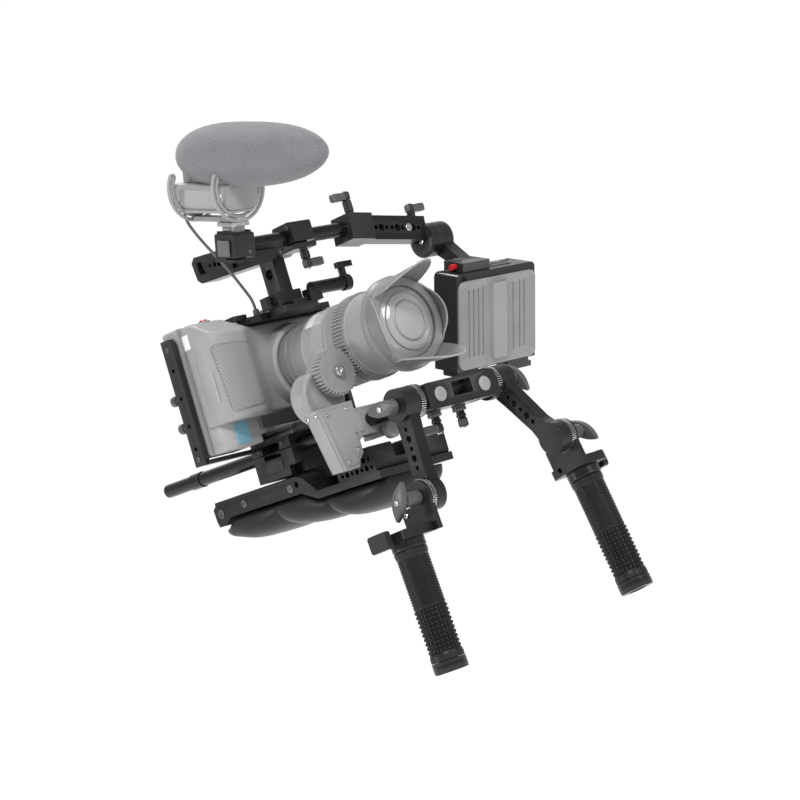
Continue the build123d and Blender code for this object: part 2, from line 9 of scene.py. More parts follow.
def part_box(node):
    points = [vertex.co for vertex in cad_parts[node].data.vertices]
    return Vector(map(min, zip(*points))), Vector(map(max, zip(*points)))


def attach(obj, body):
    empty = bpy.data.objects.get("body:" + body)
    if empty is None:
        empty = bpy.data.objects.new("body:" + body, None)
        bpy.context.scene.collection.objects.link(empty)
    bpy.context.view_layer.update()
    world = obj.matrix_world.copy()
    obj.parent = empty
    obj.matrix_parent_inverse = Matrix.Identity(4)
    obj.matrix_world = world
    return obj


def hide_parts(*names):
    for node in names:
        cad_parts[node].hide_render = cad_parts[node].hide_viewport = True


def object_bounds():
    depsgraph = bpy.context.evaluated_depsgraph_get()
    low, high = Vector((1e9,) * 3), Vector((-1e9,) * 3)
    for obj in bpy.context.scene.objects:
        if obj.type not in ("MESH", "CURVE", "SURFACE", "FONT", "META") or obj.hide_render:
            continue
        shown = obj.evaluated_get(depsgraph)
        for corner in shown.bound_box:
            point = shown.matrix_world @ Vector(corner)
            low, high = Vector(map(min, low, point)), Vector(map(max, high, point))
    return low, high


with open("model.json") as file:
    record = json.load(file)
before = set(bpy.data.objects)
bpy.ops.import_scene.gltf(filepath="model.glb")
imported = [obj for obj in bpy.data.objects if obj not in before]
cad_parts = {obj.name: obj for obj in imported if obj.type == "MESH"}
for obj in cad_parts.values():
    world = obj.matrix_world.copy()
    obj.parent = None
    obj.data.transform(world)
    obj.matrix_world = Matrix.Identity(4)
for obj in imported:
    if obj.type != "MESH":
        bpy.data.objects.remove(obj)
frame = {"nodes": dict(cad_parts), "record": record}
cad_low, cad_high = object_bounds()

# Pieces are drawn in millimetres from the front ends of the two rods: x to the operator's
# left, y to the rear along the rods, z up from the rods' centre plane.
rod_low, rod_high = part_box("rod_right")
ROD_FRONT = Vector((0, rod_low.y, (rod_low.z + rod_high.z) / 2))
MM = 0.001
RIG = Matrix.Translation(ROD_FRONT) @ Matrix.Scale(MM, 4)


def rig(x, y, z):
    return RIG @ Vector((x, y, z))


# The camera's direction, which the white backdrop behind the object lies in too.
AZIMUTH, ELEVATION, ROLL = (radians(a) for a in (-42.6, -3.3, 16.45))
LOOK = Vector((-sin(AZIMUTH) * cos(ELEVATION), cos(AZIMUTH) * cos(ELEVATION), -sin(ELEVATION)))


# ---- shader nodes

def add_node(tree, kind, **values):
    """A shader node; each value sets the node's property of that name, or else its socket."""
    node = tree.nodes.new(kind)
    for key, value in values.items():
        if hasattr(node, key):
            setattr(node, key, value)
        else:
            node.inputs[key].default_value = value
    return node


def add_ramp(tree, source, stops):
    """A colour ramp on a value, from (position, tone or colour) stops; the first two are its ends."""
    node = tree.nodes.new("ShaderNodeValToRGB")
    ramp = node.color_ramp
    for index, (position, tone) in enumerate(stops):
        colour = (*tone, 1) if hasattr(tone, "__len__") else (tone, tone, tone, 1)
        stop = ramp.elements[index] if index < 2 else ramp.elements.new(position)
        stop.position = position
        stop.color = colour
    tree.links.new(source, node.inputs["Fac"])
    return node.outputs["Color"]


def add_range(tree, source, **limits):
    """A value moved from one range to another; the limits are named like "from_min"."""
    node = tree.nodes.new("ShaderNodeMapRange")
    for key, value in limits.items():
        node.inputs[key.replace("_", " ").title()].default_value = value
    tree.links.new(source, node.inputs["Value"])
    return node.outputs["Result"]


def mix_colour(tree, share, under, over):
    node = add_node(tree, "ShaderNodeMix", data_type="RGBA")
    tree.links.new(share, node.inputs[0])
    tree.links.new(under, node.inputs[6])
    node.inputs[7].default_value = (*over, 1)
    return node.outputs[2]


def toward_backdrop(tree, coordinates, **limits):
    """How far a place lies along the main camera's fixed direction, as a share between limits."""
    place = add_node(tree, "ShaderNodeTexCoord").outputs[coordinates]
    along = add_node(tree, "ShaderNodeVectorMath", operation="DOT_PRODUCT")
    along.inputs[1].default_value = LOOK
    tree.links.new(place, along.inputs[0])
    return add_range(tree, along.outputs["Value"], **limits)


# ---- camera, light and floor

DISTANCE = 2.06
AIM = rig(-82, 0, 3.1)
SENSOR_WIDTH = 36
FOCAL_LENGTH = 99.9
LIGHT_AIM = rig(0, 100, 60)
LIGHTS = (("key", (-1.3, -1.5, 1.6), 0.5, 30),
          ("side", (-2.0, 0.9, 0.3), 0.6, 12),
          ("fill", (0.3, -2.2, 1.0), 0.8, 12),
          ("top", (0.3, 0.5, 2.0), 0.5, 22))
ROOM_TONES = ((0.0, 0.2), (1.0, (0.2, 0.2, 0.21)), (0.42, 0.4), (0.64, 0.46), (0.78, 0.26))
ROOM_STRENGTH = 1.02
FLOOR_DROP = 0.7
FLOOR_SIZE = 14


def make_camera():
    data = bpy.data.cameras.new("camera")
    data.sensor_width = SENSOR_WIDTH
    data.lens = FOCAL_LENGTH
    camera = bpy.data.objects.new("camera", data)
    back = -LOOK
    right = Vector((cos(AZIMUTH), sin(AZIMUTH), 0))
    up = back.cross(right)
    turn = Matrix((right, up, back)).transposed().to_4x4() @ Matrix.Rotation(-ROLL, 4, "Z")
    camera.matrix_world = Matrix.Translation(AIM + back * DISTANCE) @ turn
    bpy.context.collection.objects.link(camera)
    bpy.context.scene.camera = camera


def make_light(name, place, size, power):
    data = bpy.data.lights.new(name, "AREA")
    data.shape = "DISK"
    data.size = size
    data.energy = power
    light = bpy.data.objects.new(name, data)
    direction = LIGHT_AIM - Vector(place)
    turn = direction.to_track_quat("-Z", "Y").to_matrix().to_4x4()
    light.matrix_world = Matrix.Translation(place) @ turn
    bpy.context.collection.objects.link(light)


def make_room():
    """A soft grey room with a white backdrop behind the object, so that black parts stay deep."""
    world = bpy.data.worlds.new("studio")
    world.use_nodes = True
    tree = world.node_tree
    split = add_node(tree, "ShaderNodeSeparateXYZ")
    place = add_node(tree, "ShaderNodeTexCoord").outputs["Generated"]
    tree.links.new(place, split.inputs["Vector"])
    height = add_range(tree, split.outputs["Z"], from_min=-1)
    backdrop = toward_backdrop(tree, "Generated", from_min=0.4, from_max=0.93)
    tone = mix_colour(tree, backdrop, add_ramp(tree, height, ROOM_TONES), (1, 1, 1))
    background = tree.nodes["Background"]
    background.inputs["Strength"].default_value = ROOM_STRENGTH
    tree.links.new(tone, background.inputs["Color"])
    bpy.context.scene.world = world
    bpy.context.scene.view_settings.view_transform = "Standard"


def make_floor():
    """A pale floor well below the object; it glows softly towards the backdrop, without a horizon."""
    bm = bmesh.new()
    bmesh.ops.create_grid(bm, x_segments=8, y_segments=8, size=FLOOR_SIZE)
    data = bpy.data.meshes.new("floor")
    bm.to_mesh(data)
    bm.free()
    floor = bpy.data.objects.new("floor", data)
    floor.location.z = cad_low.z - FLOOR_DROP
    bpy.context.collection.objects.link(floor)
    paint = bpy.data.materials.new("floor_paint")
    paint.use_nodes = True
    tree = paint.node_tree
    shader = tree.nodes["Principled BSDF"]
    shader.inputs["Base Color"].default_value = (0.97, 0.97, 0.97, 1)
    shader.inputs["Roughness"].default_value = 1.0
    shader.inputs["Specular IOR Level"].default_value = 0.0
    shader.inputs["Emission Color"].default_value = (1, 1, 1, 1)
    glow = toward_backdrop(tree, "Object", from_min=0.8, from_max=2.6, to_min=0.35)
    tree.links.new(glow, shader.inputs["Emission Strength"])
    data.materials.append(paint)


# ---- materials

# Each finish has a colour, a roughness, how fine and how deep its grain is, and what else it needs.
FINISHES = {
    "black_anodised": ((0.011, 0.011, 0.012), 0.3, 2600, 0.1, dict(mottle=0.12, wear=0.5, specular=0.32)),
    "rod_black": ((0.008, 0.008, 0.009), 0.2, 2200, 0.04, dict(specular=0.4)),
    "silver": ((0.6, 0.6, 0.61), 0.24, 1600, 0.06, dict(metallic=1.0, wear=0.2)),
    "light_clamp": ((0.5, 0.5, 0.51), 0.42, 2200, 0.12, dict(metallic=0.2, wear=0.2)),
    "satin_grey": ((0.085, 0.085, 0.09), 0.36, 2400, 0.12, dict(wear=0.3)),
    "grey_shell": ((0.31, 0.31, 0.314), 0.48, 1500, 0.25, dict(mottle=0.06, wear=0.25)),
    "grip_panel": ((0.36, 0.36, 0.364), 0.55, 1500, 0.7, dict(mottle=0.05, weave=0.0022)),
    "lens_grey": ((0.235, 0.235, 0.239), 0.34, 2400, 0.08, dict(mottle=0.06, wear=0.3)),
    "ring_rubber": ((0.29, 0.29, 0.295), 0.5, 2000, 0.15, dict(mottle=0.08, wear=0.25)),
    "hood_plastic": ((0.185, 0.185, 0.189), 0.44, 1900, 0.18, dict(mottle=0.06, wear=0.5)),
    "lens_glass": ((0.4, 0.4, 0.41), 0.06, 260, 0.0, dict(mottle=0.06, coat=1.0)),
    "lens_inner": ((0.3, 0.3, 0.31), 0.35, 900, 0.1, dict()),
    "motor_grey": ((0.275, 0.275, 0.279), 0.44, 1500, 0.2, dict(mottle=0.06, wear=0.3)),
    "foam": ((0.215, 0.215, 0.228), 0.95, 1100, 0.9,
             dict(mottle=0.06, fleck=(0.145, 0.145, 0.155), sheen=0.2)),
    "mic_plastic": ((0.31, 0.31, 0.315), 0.4, 1500, 0.1, dict(mottle=0.06, wear=0.25)),
    "pad_rubber": ((0.008, 0.008, 0.009), 0.42, 1700, 0.3, dict(mottle=0.15, sheen=0.03, specular=0.3)),
    "grip_rubber": ((0.009, 0.009, 0.01), 0.42, 1900, 0.2, dict(mottle=0.15, wear=0.3, specular=0.3)),
    "cable": ((0.13, 0.13, 0.135), 0.5, 1500, 0.1, dict()),
    "red_plastic": ((0.6, 0.01, 0.01), 0.3, 900, 0.05, dict(coat=0.4)),
    "monitor_grey": ((0.26, 0.26, 0.264), 0.5, 1500, 0.25, dict(mottle=0.06, wear=0.25)),
    "screen": ((0.01, 0.01, 0.012), 0.08, 600, 0.0, dict(coat=0.8)),
    "label": ((0.85, 0.85, 0.86), 0.4, 1200, 0.05, dict(mottle=0.04)),
    "blue_label": ((0.2, 0.42, 0.52), 0.4, 1200, 0.05, dict(mottle=0.04)),
}


def mesh_pattern(tree, place, pitch):
    """The fine crossed weave moulded into a grip panel: two sets of slanted waves, multiplied."""
    waves = []
    for lean in (0.9, -0.9):
        turn = add_node(tree, "ShaderNodeMapping")
        turn.inputs["Rotation"].default_value = (0, lean, 0)
        tree.links.new(place, turn.inputs["Vector"])
        wave = add_node(tree, "ShaderNodeTexWave", Scale=0.314 / pitch)
        wave.bands_direction = "Z"
        tree.links.new(turn.outputs["Vector"], wave.inputs["Vector"])
        waves.append(wave.outputs["Fac"])
    product = add_node(tree, "ShaderNodeMath", operation="MULTIPLY")
    tree.links.new(waves[0], product.inputs[0])
    tree.links.new(waves[1], product.inputs[1])
    return product.outputs["Value"]


def make_finish(name, colour, roughness, grain, bump, mottle=0.1, metallic=0.0, wear=0.0, sheen=0.0,
                coat=0.0, specular=0.5, fleck=None, weave=0.0):
    """A procedural surface: fine grain in the normal, slow mottling in colour and roughness,
    and paler edges, partly real wear and partly a painted highlight along them."""
    material = bpy.data.materials.new(name)
    material.use_nodes = True
    tree = material.node_tree
    shader = tree.nodes["Principled BSDF"]
    shader.inputs["Metallic"].default_value = metallic
    shader.inputs["Sheen Weight"].default_value = sheen
    shader.inputs["Coat Weight"].default_value = coat
    shader.inputs["Specular IOR Level"].default_value = specular
    place = add_node(tree, "ShaderNodeTexCoord").outputs["Object"]
    slow = add_node(tree, "ShaderNodeTexNoise", Scale=38.0, Detail=4.0, Roughness=0.6).outputs["Fac"]
    fine = add_node(tree, "ShaderNodeTexNoise", Scale=grain, Detail=2.0, Roughness=0.5).outputs["Fac"]
    for noise in (slow, fine):
        tree.links.new(place, noise.node.inputs["Vector"])

    low = [max(0.0, c * (1 - mottle)) for c in colour]
    high = [min(1.0, c * (1 + mottle)) for c in colour]
    tone = add_ramp(tree, slow, [(0.3, low), (0.7, high)])
    if fleck is not None:
        spots = add_ramp(tree, fine, [(0.42, 0.0), (0.62, 1.0)])
        tone = mix_colour(tree, spots, tone, fleck)
    # Convex edges turn paler: partly real wear, partly a painted highlight along the edges.
    if wear > 0:
        edges = add_node(tree, "ShaderNodeNewGeometry").outputs["Pointiness"]
        worn_and_highlit_edges = add_ramp(tree, edges, [(0.52, 0.0), (0.64, wear)])
        tone = mix_colour(tree, worn_and_highlit_edges, tone, [min(1.0, c * 2.5 + 0.08) for c in colour])
    height = fine
    if weave > 0:
        height = mesh_pattern(tree, place, weave)
        # The weave's hollows are darkened: painted shade in the recesses of the moulding.
        painted_hollow_shade = add_ramp(tree, height, [(0.02, 1.0), (0.3, 0.0)])
        tone = mix_colour(tree, painted_hollow_shade, tone, [c * 0.55 for c in colour])
    tree.links.new(tone, shader.inputs["Base Color"])
    gloss = add_range(tree, slow, to_min=max(0.05, roughness - 0.07), to_max=min(1.0, roughness + 0.09))
    tree.links.new(gloss, shader.inputs["Roughness"])

    relief = add_node(tree, "ShaderNodeBump", Strength=bump, Distance=0.0002)
    tree.links.new(height, relief.inputs["Height"])
    tree.links.new(relief.outputs["Normal"], shader.inputs["Normal"])
    return material


def make_materials():
    return {name: make_finish(name, *basics, **more) for name, (*basics, more) in FINISHES.items()}


MATERIALS = make_materials()


# ---- microphone lead

CABLE_DIAMETER = 0.003
# The lead's route from the microphone down to its plug, in metres in the object's own frame.
CABLE_ROUTE = [(-0.1, -0.0443, 0.33345), (-0.1, -0.0415, 0.3248), (-0.094, -0.039, 0.314),
               (-0.084, -0.0375, 0.299), (-0.071, -0.037, 0.281), (-0.0585, -0.0366, 0.2625),
               (-0.048, -0.036, 0.244), (-0.041, -0.036, 0.231), (-0.041, -0.036, 0.2215)]


def make_cable():
    data = bpy.data.curves.new("microphone_lead", "CURVE")
    data.dimensions = "3D"
    spline = data.splines.new("NURBS")
    spline.points.add(len(CABLE_ROUTE) - 1)
    for point, place in zip(spline.points, CABLE_ROUTE):
        point.co = (*place, 1)
    spline.order_u = 3
    spline.use_endpoint_u = True
    spline.resolution_u = 12
    data.bevel_depth = CABLE_DIAMETER / 2
    data.bevel_resolution = 5
    lead = bpy.data.objects.new("microphone_lead", data)
    bpy.context.collection.objects.link(lead)
    data.materials.append(MATERIALS["cable"])
    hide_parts("mic_cable")
    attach(lead, "root")


# ---- mesh building

AXES = {"X": ((0, 1, 0), (0, 0, 1), (1, 0, 0)),
        "Y": ((1, 0, 0), (0, 0, 1), (0, 1, 0)),
        "Z": ((1, 0, 0), (0, 1, 0), (0, 0, 1))}


def move(x, y, z):
    return Matrix.Translation((x, y, z))


def spin(turn, axis):
    return Matrix.Rotation(radians(turn), 4, axis)


def mirror(side):
    return Matrix.Diagonal((side, 1, 1, 1))


def facing(axis, x=0.0, y=0.0, z=0.0, turn=0.0, back=False):
    """A place whose third axis points along X, Y or Z, or the opposite way; the other two are
    the object's remaining axes in order."""
    u, v, w = (Vector(a) for a in AXES[axis])
    turned = Matrix((u, v, -w if back else w)).transposed().to_4x4()
    return move(x, y, z) @ turned @ spin(turn, "Z")


def polar(radius, angle, *more):
    """A point at an angle on a circle, followed by its other coordinates."""
    return (radius * cos(angle), radius * sin(angle), *more)


def circle(radius, count=48, u=0.0, v=0.0):
    steps = [2 * pi * i / count for i in range(count)]
    return [(u + radius * cos(a), v + radius * sin(a)) for a in steps]


def middle_of(outline):
    return sum((Vector(p) for p in outline), Vector((0, 0))) / len(outline)


def toothed(radius, depth, teeth, shape=((0.10, 1), (0.32, 0), (0.68, 0), (0.90, 1))):
    """A ring outline; each tooth is drawn by (share of the pitch, share of the depth) points."""
    points = []
    for tooth in range(teeth):
        for share, sunk in shape:
            angle = 2 * pi * (tooth + share) / teeth
            points.append(polar(radius - depth * sunk, angle))
    return points


def rounded(corners, radius, steps=4):
    """An outline with its corners rounded off by short curves."""
    points = []
    for i, (u, v) in enumerate(corners):
        here = Vector((u, v))
        before = Vector(corners[i - 1]) - here
        after = Vector(corners[(i + 1) % len(corners)]) - here
        reach = min(radius, before.length * 0.48, after.length * 0.48)
        first, last = here + before.normalized() * reach, here + after.normalized() * reach
        for k in range(steps + 1):
            t = k / steps
            points.append(tuple(first * (1 - t) ** 2 + here * 2 * t * (1 - t) + last * t * t))
    return points


def round_rect(u0, u1, v0, v1, radius, steps=4):
    return rounded([(u0, v0), (u1, v0), (u1, v1), (u0, v1)], radius, steps)


def along_outline(outline, distance):
    """The point at a distance along a closed outline, and the outward direction there."""
    spans = list(zip(outline, outline[1:] + outline[:1]))
    total = sum((Vector(b) - Vector(a)).length for a, b in spans)
    rest = distance % total
    for a, b in spans:
        span = Vector(b) - Vector(a)
        if rest <= span.length and span.length > 0:
            point = Vector(a) + span * (rest / span.length)
            return point, Vector((span.y, -span.x)).normalized()
        rest -= span.length
    return Vector(outline[0]), Vector((0, 1))


def evenly(outline, count):
    spans = zip(outline, outline[1:] + outline[:1])
    total = sum((Vector(b) - Vector(a)).length for a, b in spans)
    return [tuple(along_outline(outline, total * i / count)[0]) for i in range(count)]


def add_bevel(piece, width, angle):
    """Rounds the edges sharper than an angle, by a width in millimetres."""
    rim = piece.modifiers.new("edges", "BEVEL")
    rim.width = width * MM
    rim.segments = 2
    rim.limit_method = "ANGLE"
    rim.angle_limit = radians(angle)
    rim.harden_normals = True


class Shape:
    """A mesh drawn in rig millimetres, in places measured from the shape's own place."""

    def __init__(self, place=Matrix()):
        self.bm = bmesh.new()
        self.place = place

    def skin(self, rings, at=Matrix(), loop=False):
        """Joins closed rings of points one after the other, and closes both ends unless it loops."""
        where = self.place @ at
        rows = [[self.bm.verts.new(where @ Vector(p)) for p in ring] for ring in rings]
        pairs = list(zip(rows, rows[1:]))
        if loop:
            pairs.append((rows[-1], rows[0]))
        for low, high in pairs:
            for i in range(len(low)):
                j = (i + 1) % len(low)
                self.bm.faces.new((low[i], low[j], high[j], high[i]))
        if not loop:
            self.bm.faces.new(rows[0][::-1])
            self.bm.faces.new(rows[-1])

    def layers(self, outlines, at=Matrix(), loop=False):
        """A skin through flat outlines, each given with its height."""
        self.skin([[(u, v, w) for u, v in outline] for w, outline in outlines], at, loop)

    def prism(self, outline, low, high, at=Matrix(), edge=0.0):
        """A plate; with an edge, its two rims are drawn in by a small chamfer."""
        if edge <= 0:
            self.layers([(low, outline), (high, outline)], at)
            return
        middle = middle_of(outline)
        size = max((Vector(p) - middle).length for p in outline)
        shrink = 1 - edge / size
        small = [tuple(middle + (Vector(p) - middle) * shrink) for p in outline]
        self.layers([(low, small), (low + edge, outline), (high - edge, outline), (high, small)], at)

    def lathe(self, profile, at=Matrix(), count=48, loop=False):
        """A turned form through (height, radius) steps."""
        self.layers([(w, circle(radius, count)) for w, radius in profile], at, loop)

    def sheet_on(self, surface, outline, thick, steps=7, edge=0.35):
        """A thin plate that follows a surface(u, v, height), drawn as rings inside its outline."""
        outline = evenly(outline, 96)
        middle = middle_of(outline)
        shares = [(1.0, -0.3), (1.0, thick - edge), (0.985, thick)]
        shares += [(1 - (k + 1) / steps * 0.97, thick) for k in range(steps)]
        rings = []
        for share, height in shares:
            ring = [middle + (Vector(p) - middle) * share for p in outline]
            rings.append([surface(u, v, height) for u, v in ring])
        self.skin(rings)

    def done(self, name, finish, body="root", bevel=0, smooth=34, replaces=()):
        """Turns the shape into a piece on a body, with its finish and its sharp or bevelled edges."""
        bmesh.ops.recalc_face_normals(self.bm, faces=self.bm.faces)
        self.bm.transform(RIG)
        data = bpy.data.meshes.new(name)
        self.bm.to_mesh(data)
        self.bm.free()
        data.polygons.foreach_set("use_smooth", [True] * len(data.polygons))
        piece = bpy.data.objects.new(name, data)
        bpy.context.collection.objects.link(piece)
        data.materials.append(MATERIALS[finish])
        if bevel > 0:
            add_bevel(piece, bevel, smooth)
        else:
            data.set_sharp_from_angle(angle=radians(smooth))
        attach(piece, body)
        if replaces:
            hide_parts(*replaces)
        return piece


def cap_screw(shape, at, radius=2.4, height=1.6):
    """A screw head with a hexagon socket, its top towards the place's third axis."""
    def socket(w):
        ring = []
        for u, v in circle(1.0, 24):
            lean = atan2(v, u) % (pi / 3) - pi / 6
            reach = radius * 0.45 / cos(lean)
            ring.append((u * reach, v * reach, w))
        return ring

    steps = ((-0.4, radius), (height * 0.7, radius), (height * 0.94, radius * 0.9), (height, radius * 0.76))
    rings = [[(u, v, w) for u, v in circle(r, 24)] for w, r in steps]
    rings += [socket(height), socket(height * 0.2)]
    shape.skin(rings, at)


def toothed_band(shape, low, high, inner, outer, teeth, at=Matrix(), depth=0.4):
    rough = toothed(outer, depth, teeth)
    plain = circle(inner, 4 * teeth)
    shape.layers([(low, plain), (low, rough), (high, rough), (high, plain)], at, loop=True)


# ---- places of the moving parts

SIDES = {"right": -1, "left": 1}
CLAMP_AXIS_Y = 17.0
ARM_LENGTH = 88.0
ARM_SWING = {"right": 0.0, "left": -38.0}
GRIP_TILT = {"right": -4.3, "left": -11.3}
UPPER_WING_TURN = {"right": 90.0, "left": 0.0}
LOWER_WING_TURN = {"right": 35.0, "left": -44.0}
GRIP_X = 96.0
GRIP_SETBACK = 16.0
LENS = facing("Y", 0, 0, 80)
MICROPHONE = move(-90, 158, 200) @ spin(18, "X")
MONITOR = move(0, 140, 34) @ spin(22.6, "X")


def arm_place(side):
    return move(0, CLAMP_AXIS_Y, 0) @ spin(ARM_SWING[side], "X") @ mirror(SIDES[side])


def grip_place(side):
    swing = radians(ARM_SWING[side])
    joint = (0, CLAMP_AXIS_Y + ARM_LENGTH * sin(swing), -ARM_LENGTH * cos(swing))
    return move(*joint) @ spin(GRIP_TILT[side], "X") @ mirror(SIDES[side])


# ---- handgrips

ROSETTE_INNER = 12
ROSETTE_OUTER = 16.5
ROSETTE_TEETH = 48
ROSETTE_DEPTH = 0.9
WING_HALF_LENGTH = 20


def make_rosettes():
    """Bright toothed faces where the clamp, the arms and the grips meet."""
    for side in SIDES:
        clamp_place = move(0, CLAMP_AXIS_Y, 0) @ mirror(SIDES[side])
        for name, place, body, faces in (
                ("rosette_clamp_", clamp_place, "front_clamp", ((49.4, 52.0, 0),)),
                ("rosette_arm_", arm_place(side), "arm_" + side,
                 ((52.4, 54.9, 0), (70.4, 73.0, -ARM_LENGTH))),
                ("rosette_grip_", grip_place(side), "grip_" + side, ((73.4, 75.9, 0),))):
            shape = Shape(place)
            for low, high, z in faces:
                toothed_band(shape, low, high, ROSETTE_INNER, ROSETTE_OUTER, ROSETTE_TEETH,
                             facing("X", z=z), ROSETTE_DEPTH)
            shape.done(name + side, "silver", body)


def make_wing(name, body, place, shaft, collar, blade, turn):
    """A wing lever; its shaft starts, its collar starts and its blade lies at these distances."""
    shape = Shape(place)
    shape.lathe([(shaft, 3.9), (collar, 3.9), (collar, 6.4), (collar + 0.8, 7), (blade - 2.4, 7),
                 (blade - 1.6, 5.6), (blade + 2, 5.6)], facing("X"), 32)
    rings = []
    for step in range(13):
        t = step / 6 - 1
        half = 1.5 + 5.9 * (1 - abs(t) ** 1.9)
        inner, outer = blade + 0.9 * t * t, blade + 4.6 + 2.6 * (1 - t * t)
        ring = round_rect(-half, half, inner, outer, 1.5, 2)
        rings.append([(x, y, WING_HALF_LENGTH * t) for y, x in ring])
    shape.skin(rings, spin(turn, "X"))
    shape.done(name + "_lever", "satin_grey", body, bevel=0.25, replaces=[name])
    screw = Shape(place)
    cap_screw(screw, facing("X", blade + 7.2), 2.8, 1.0)
    screw.done(name + "_screw", "silver", body)


def pad_field(shape, top, pitch, rows, columns, base, rise, at):
    """A sleeve covered in small raised squares."""
    steps = ((0.0, 0), (0.18, 0), (0.34, 1), (0.84, 1))
    rings = []
    for row in range(rows + 1):
        for share, level in steps if row < rows else steps[:1]:
            w = top - pitch * (row + share)
            ring = []
            for column in range(columns):
                for across, height in steps:
                    angle = 2 * pi * (column + across) / columns
                    ring.append(polar(base + rise * level * height, angle, w))
            rings.append(ring)
    shape.skin(rings, at)


def make_grip(side):
    """A rubber sleeve with two fields of raised squares, between black caps."""
    place = grip_place(side)
    body = "grip_" + side
    at = facing("Z", GRIP_X, GRIP_SETBACK, 0)
    sleeve = Shape(place)
    sleeve.lathe([(-43.2, 14.8), (-43.5, 15.9), (-44.6, 16.5), (-48.6, 16.2), (-50.4, 15.5), (-51.4, 14.9)],
                 at, 64)
    pad_field(sleeve, -51.0, 2.75, 17, 38, 15.0, 0.5, at)
    sleeve.lathe([(-97.6, 14.8), (-97.9, 15.5), (-99.0, 15.5), (-99.3, 14.8)], at, 64)
    pad_field(sleeve, -99.2, 4.3, 10, 24, 14.7, 1.3, at)
    sleeve.lathe([(-142.0, 14.9), (-143.0, 15.7), (-146.0, 16.5), (-150.2, 16.6), (-150.8, 16.0)], at, 64)
    sleeve.done("grip_rubber_" + side, "grip_rubber", body, smooth=28, replaces=["grip_sleeve_" + side])
    cap = Shape(place)
    cap.lathe([(-151.4, 16.3), (-152.0, 16.9), (-154.4, 16.9), (-155.0, 16.3), (-155.6, 16.9),
               (-160.0, 16.9), (-161.8, 15.8), (-162.4, 12.0), (-162.0, 9.5), (-160.8, 9.0),
               (-160.6, 1.0)], at, 64)
    cap.lathe([(-34.0, 15.6), (-34.6, 16.7), (-39.0, 16.7), (-39.5, 16.2), (-40.0, 16.7), (-42.2, 16.7),
               (-42.9, 16.0)], at, 64)
    cap.done("grip_caps_" + side, "black_anodised", body)
    screws = Shape(place)
    cap_screw(screws, facing("X", 79.0, 24, -12), 2.4, 1.2)
    cap_screw(screws, facing("Z", 86, 28, -25), 2.4, 1.2)
    screws.done("grip_screws_" + side, "silver", body)


def make_handgrips():
    make_rosettes()
    for side in SIDES:
        upper, lower = "wing_upper_" + side, "wing_lower_" + side
        make_wing(upper, upper, arm_place(side), 43.5, 75.4, 88, UPPER_WING_TURN[side])
        make_wing(lower, lower, grip_place(side), 66, 79.4, 100, LOWER_WING_TURN[side])
        make_grip(side)


# ---- thumb levers

# The blade's sections: place along it, half its width, and its lower and upper face.
BLADE_SECTIONS = ((-5.0, 2.2, 1.6, 7.4), (-3.6, 3.6, 0.9, 8.2), (5.0, 4.0, 0.6, 8.6), (15.0, 3.7, 0.3, 8.9),
                  (18.6, 3.3, 0.5, 8.7), (20.0, 2.2, 1.4, 7.8))


def thumb_lever(name, x, y, tip, length, turn, up=False):
    """A clamping lever: a waisted stem with a flat blade at its tip, which points up or down."""
    place = facing("Z", x, y, tip, turn, back=up)
    stem = Shape(place)
    stem.lathe([(-0.2, 2.6), (0.1, 4.2), (0.9, 4.9), (7.6, 4.9), (8.4, 4.1), (9.4, 4.1), (9.9, 4.9),
                (length - 3.2, 4.9), (length - 2.8, 4.2), (length, 4.2)], count=32)
    stem.done(name + "_stem", "black_anodised", name, replaces=[name])
    blade = Shape(place)
    rings = []
    for u, half, low, high in BLADE_SECTIONS:
        rings.append([(u, v, w) for v, w in round_rect(-half, half, low, high, 1.3, 2)])
    blade.skin(rings)
    blade.done(name + "_blade", "satin_grey", name, bevel=0.2)
    screw = Shape(place @ Matrix.Diagonal((1, 1, -1, 1)))
    cap_screw(screw, Matrix(), 2.6, 1.2)
    screw.done(name + "_screw", "silver", name)


def make_thumb_levers():
    thumb_lever("clamp_lever_right", -17, 30, -34, 15.5, 180)
    thumb_lever("clamp_lever_left", 17, 30, -34, 15.5, 45)
    thumb_lever("hub_lever", 154, 158, 215, 14, 0, up=True)
    thumb_lever("arm_bar_lever", 70, 158, 238, 24, 180, up=True)
    thumb_lever("handle_lever", -12, 150, 166, 19.5, 0)


# ---- lens hood

HOOD_REAR = 61.0
HOOD_ROOT = 49.5
HOOD_TURN = radians(7)
HOOD_THICKNESS = 1.5
HOOD_SEAT = 45.2
HOOD_COUNT = 144
PETAL_BLEND = 2.2


def hood_edge(angle):
    """How far forward the hood reaches: long petals above and below, short ones at the sides."""
    lean = degrees(angle - HOOD_TURN)
    from_long = abs((lean + 180) % 180 - 90)
    from_short = 90 - from_long
    long_petal = -5.4 + 54 * (from_long / 44) ** 2.3
    short_petal = 36.5 + 13 * (from_short / 44) ** 2
    total = exp(-long_petal / PETAL_BLEND) + exp(-short_petal / PETAL_BLEND)
    return -PETAL_BLEND * log(total)


def smooth_step(t):
    t = min(1.0, max(0.0, t))
    return t * t * (3 - 2 * t)


def hood_radius(y):
    flare = 44.6 + max(0.0, 43 - y) * 0.085
    return flare + (46.5 - flare) * smooth_step((y - 43) / 3.5)


def hood_ring(share, inset=0.0, front=0.0):
    """The hood's wall at a share of the way from its root to its edge."""
    ring = []
    for step in range(HOOD_COUNT):
        angle = 2 * pi * step / HOOD_COUNT
        y = HOOD_ROOT + (hood_edge(angle) - HOOD_ROOT) * share + front
        reach = hood_radius(y) - inset
        if inset > 0 and y > 46:
            reach = max(reach, HOOD_SEAT)
        ring.append(polar(reach, angle, y))
    return ring


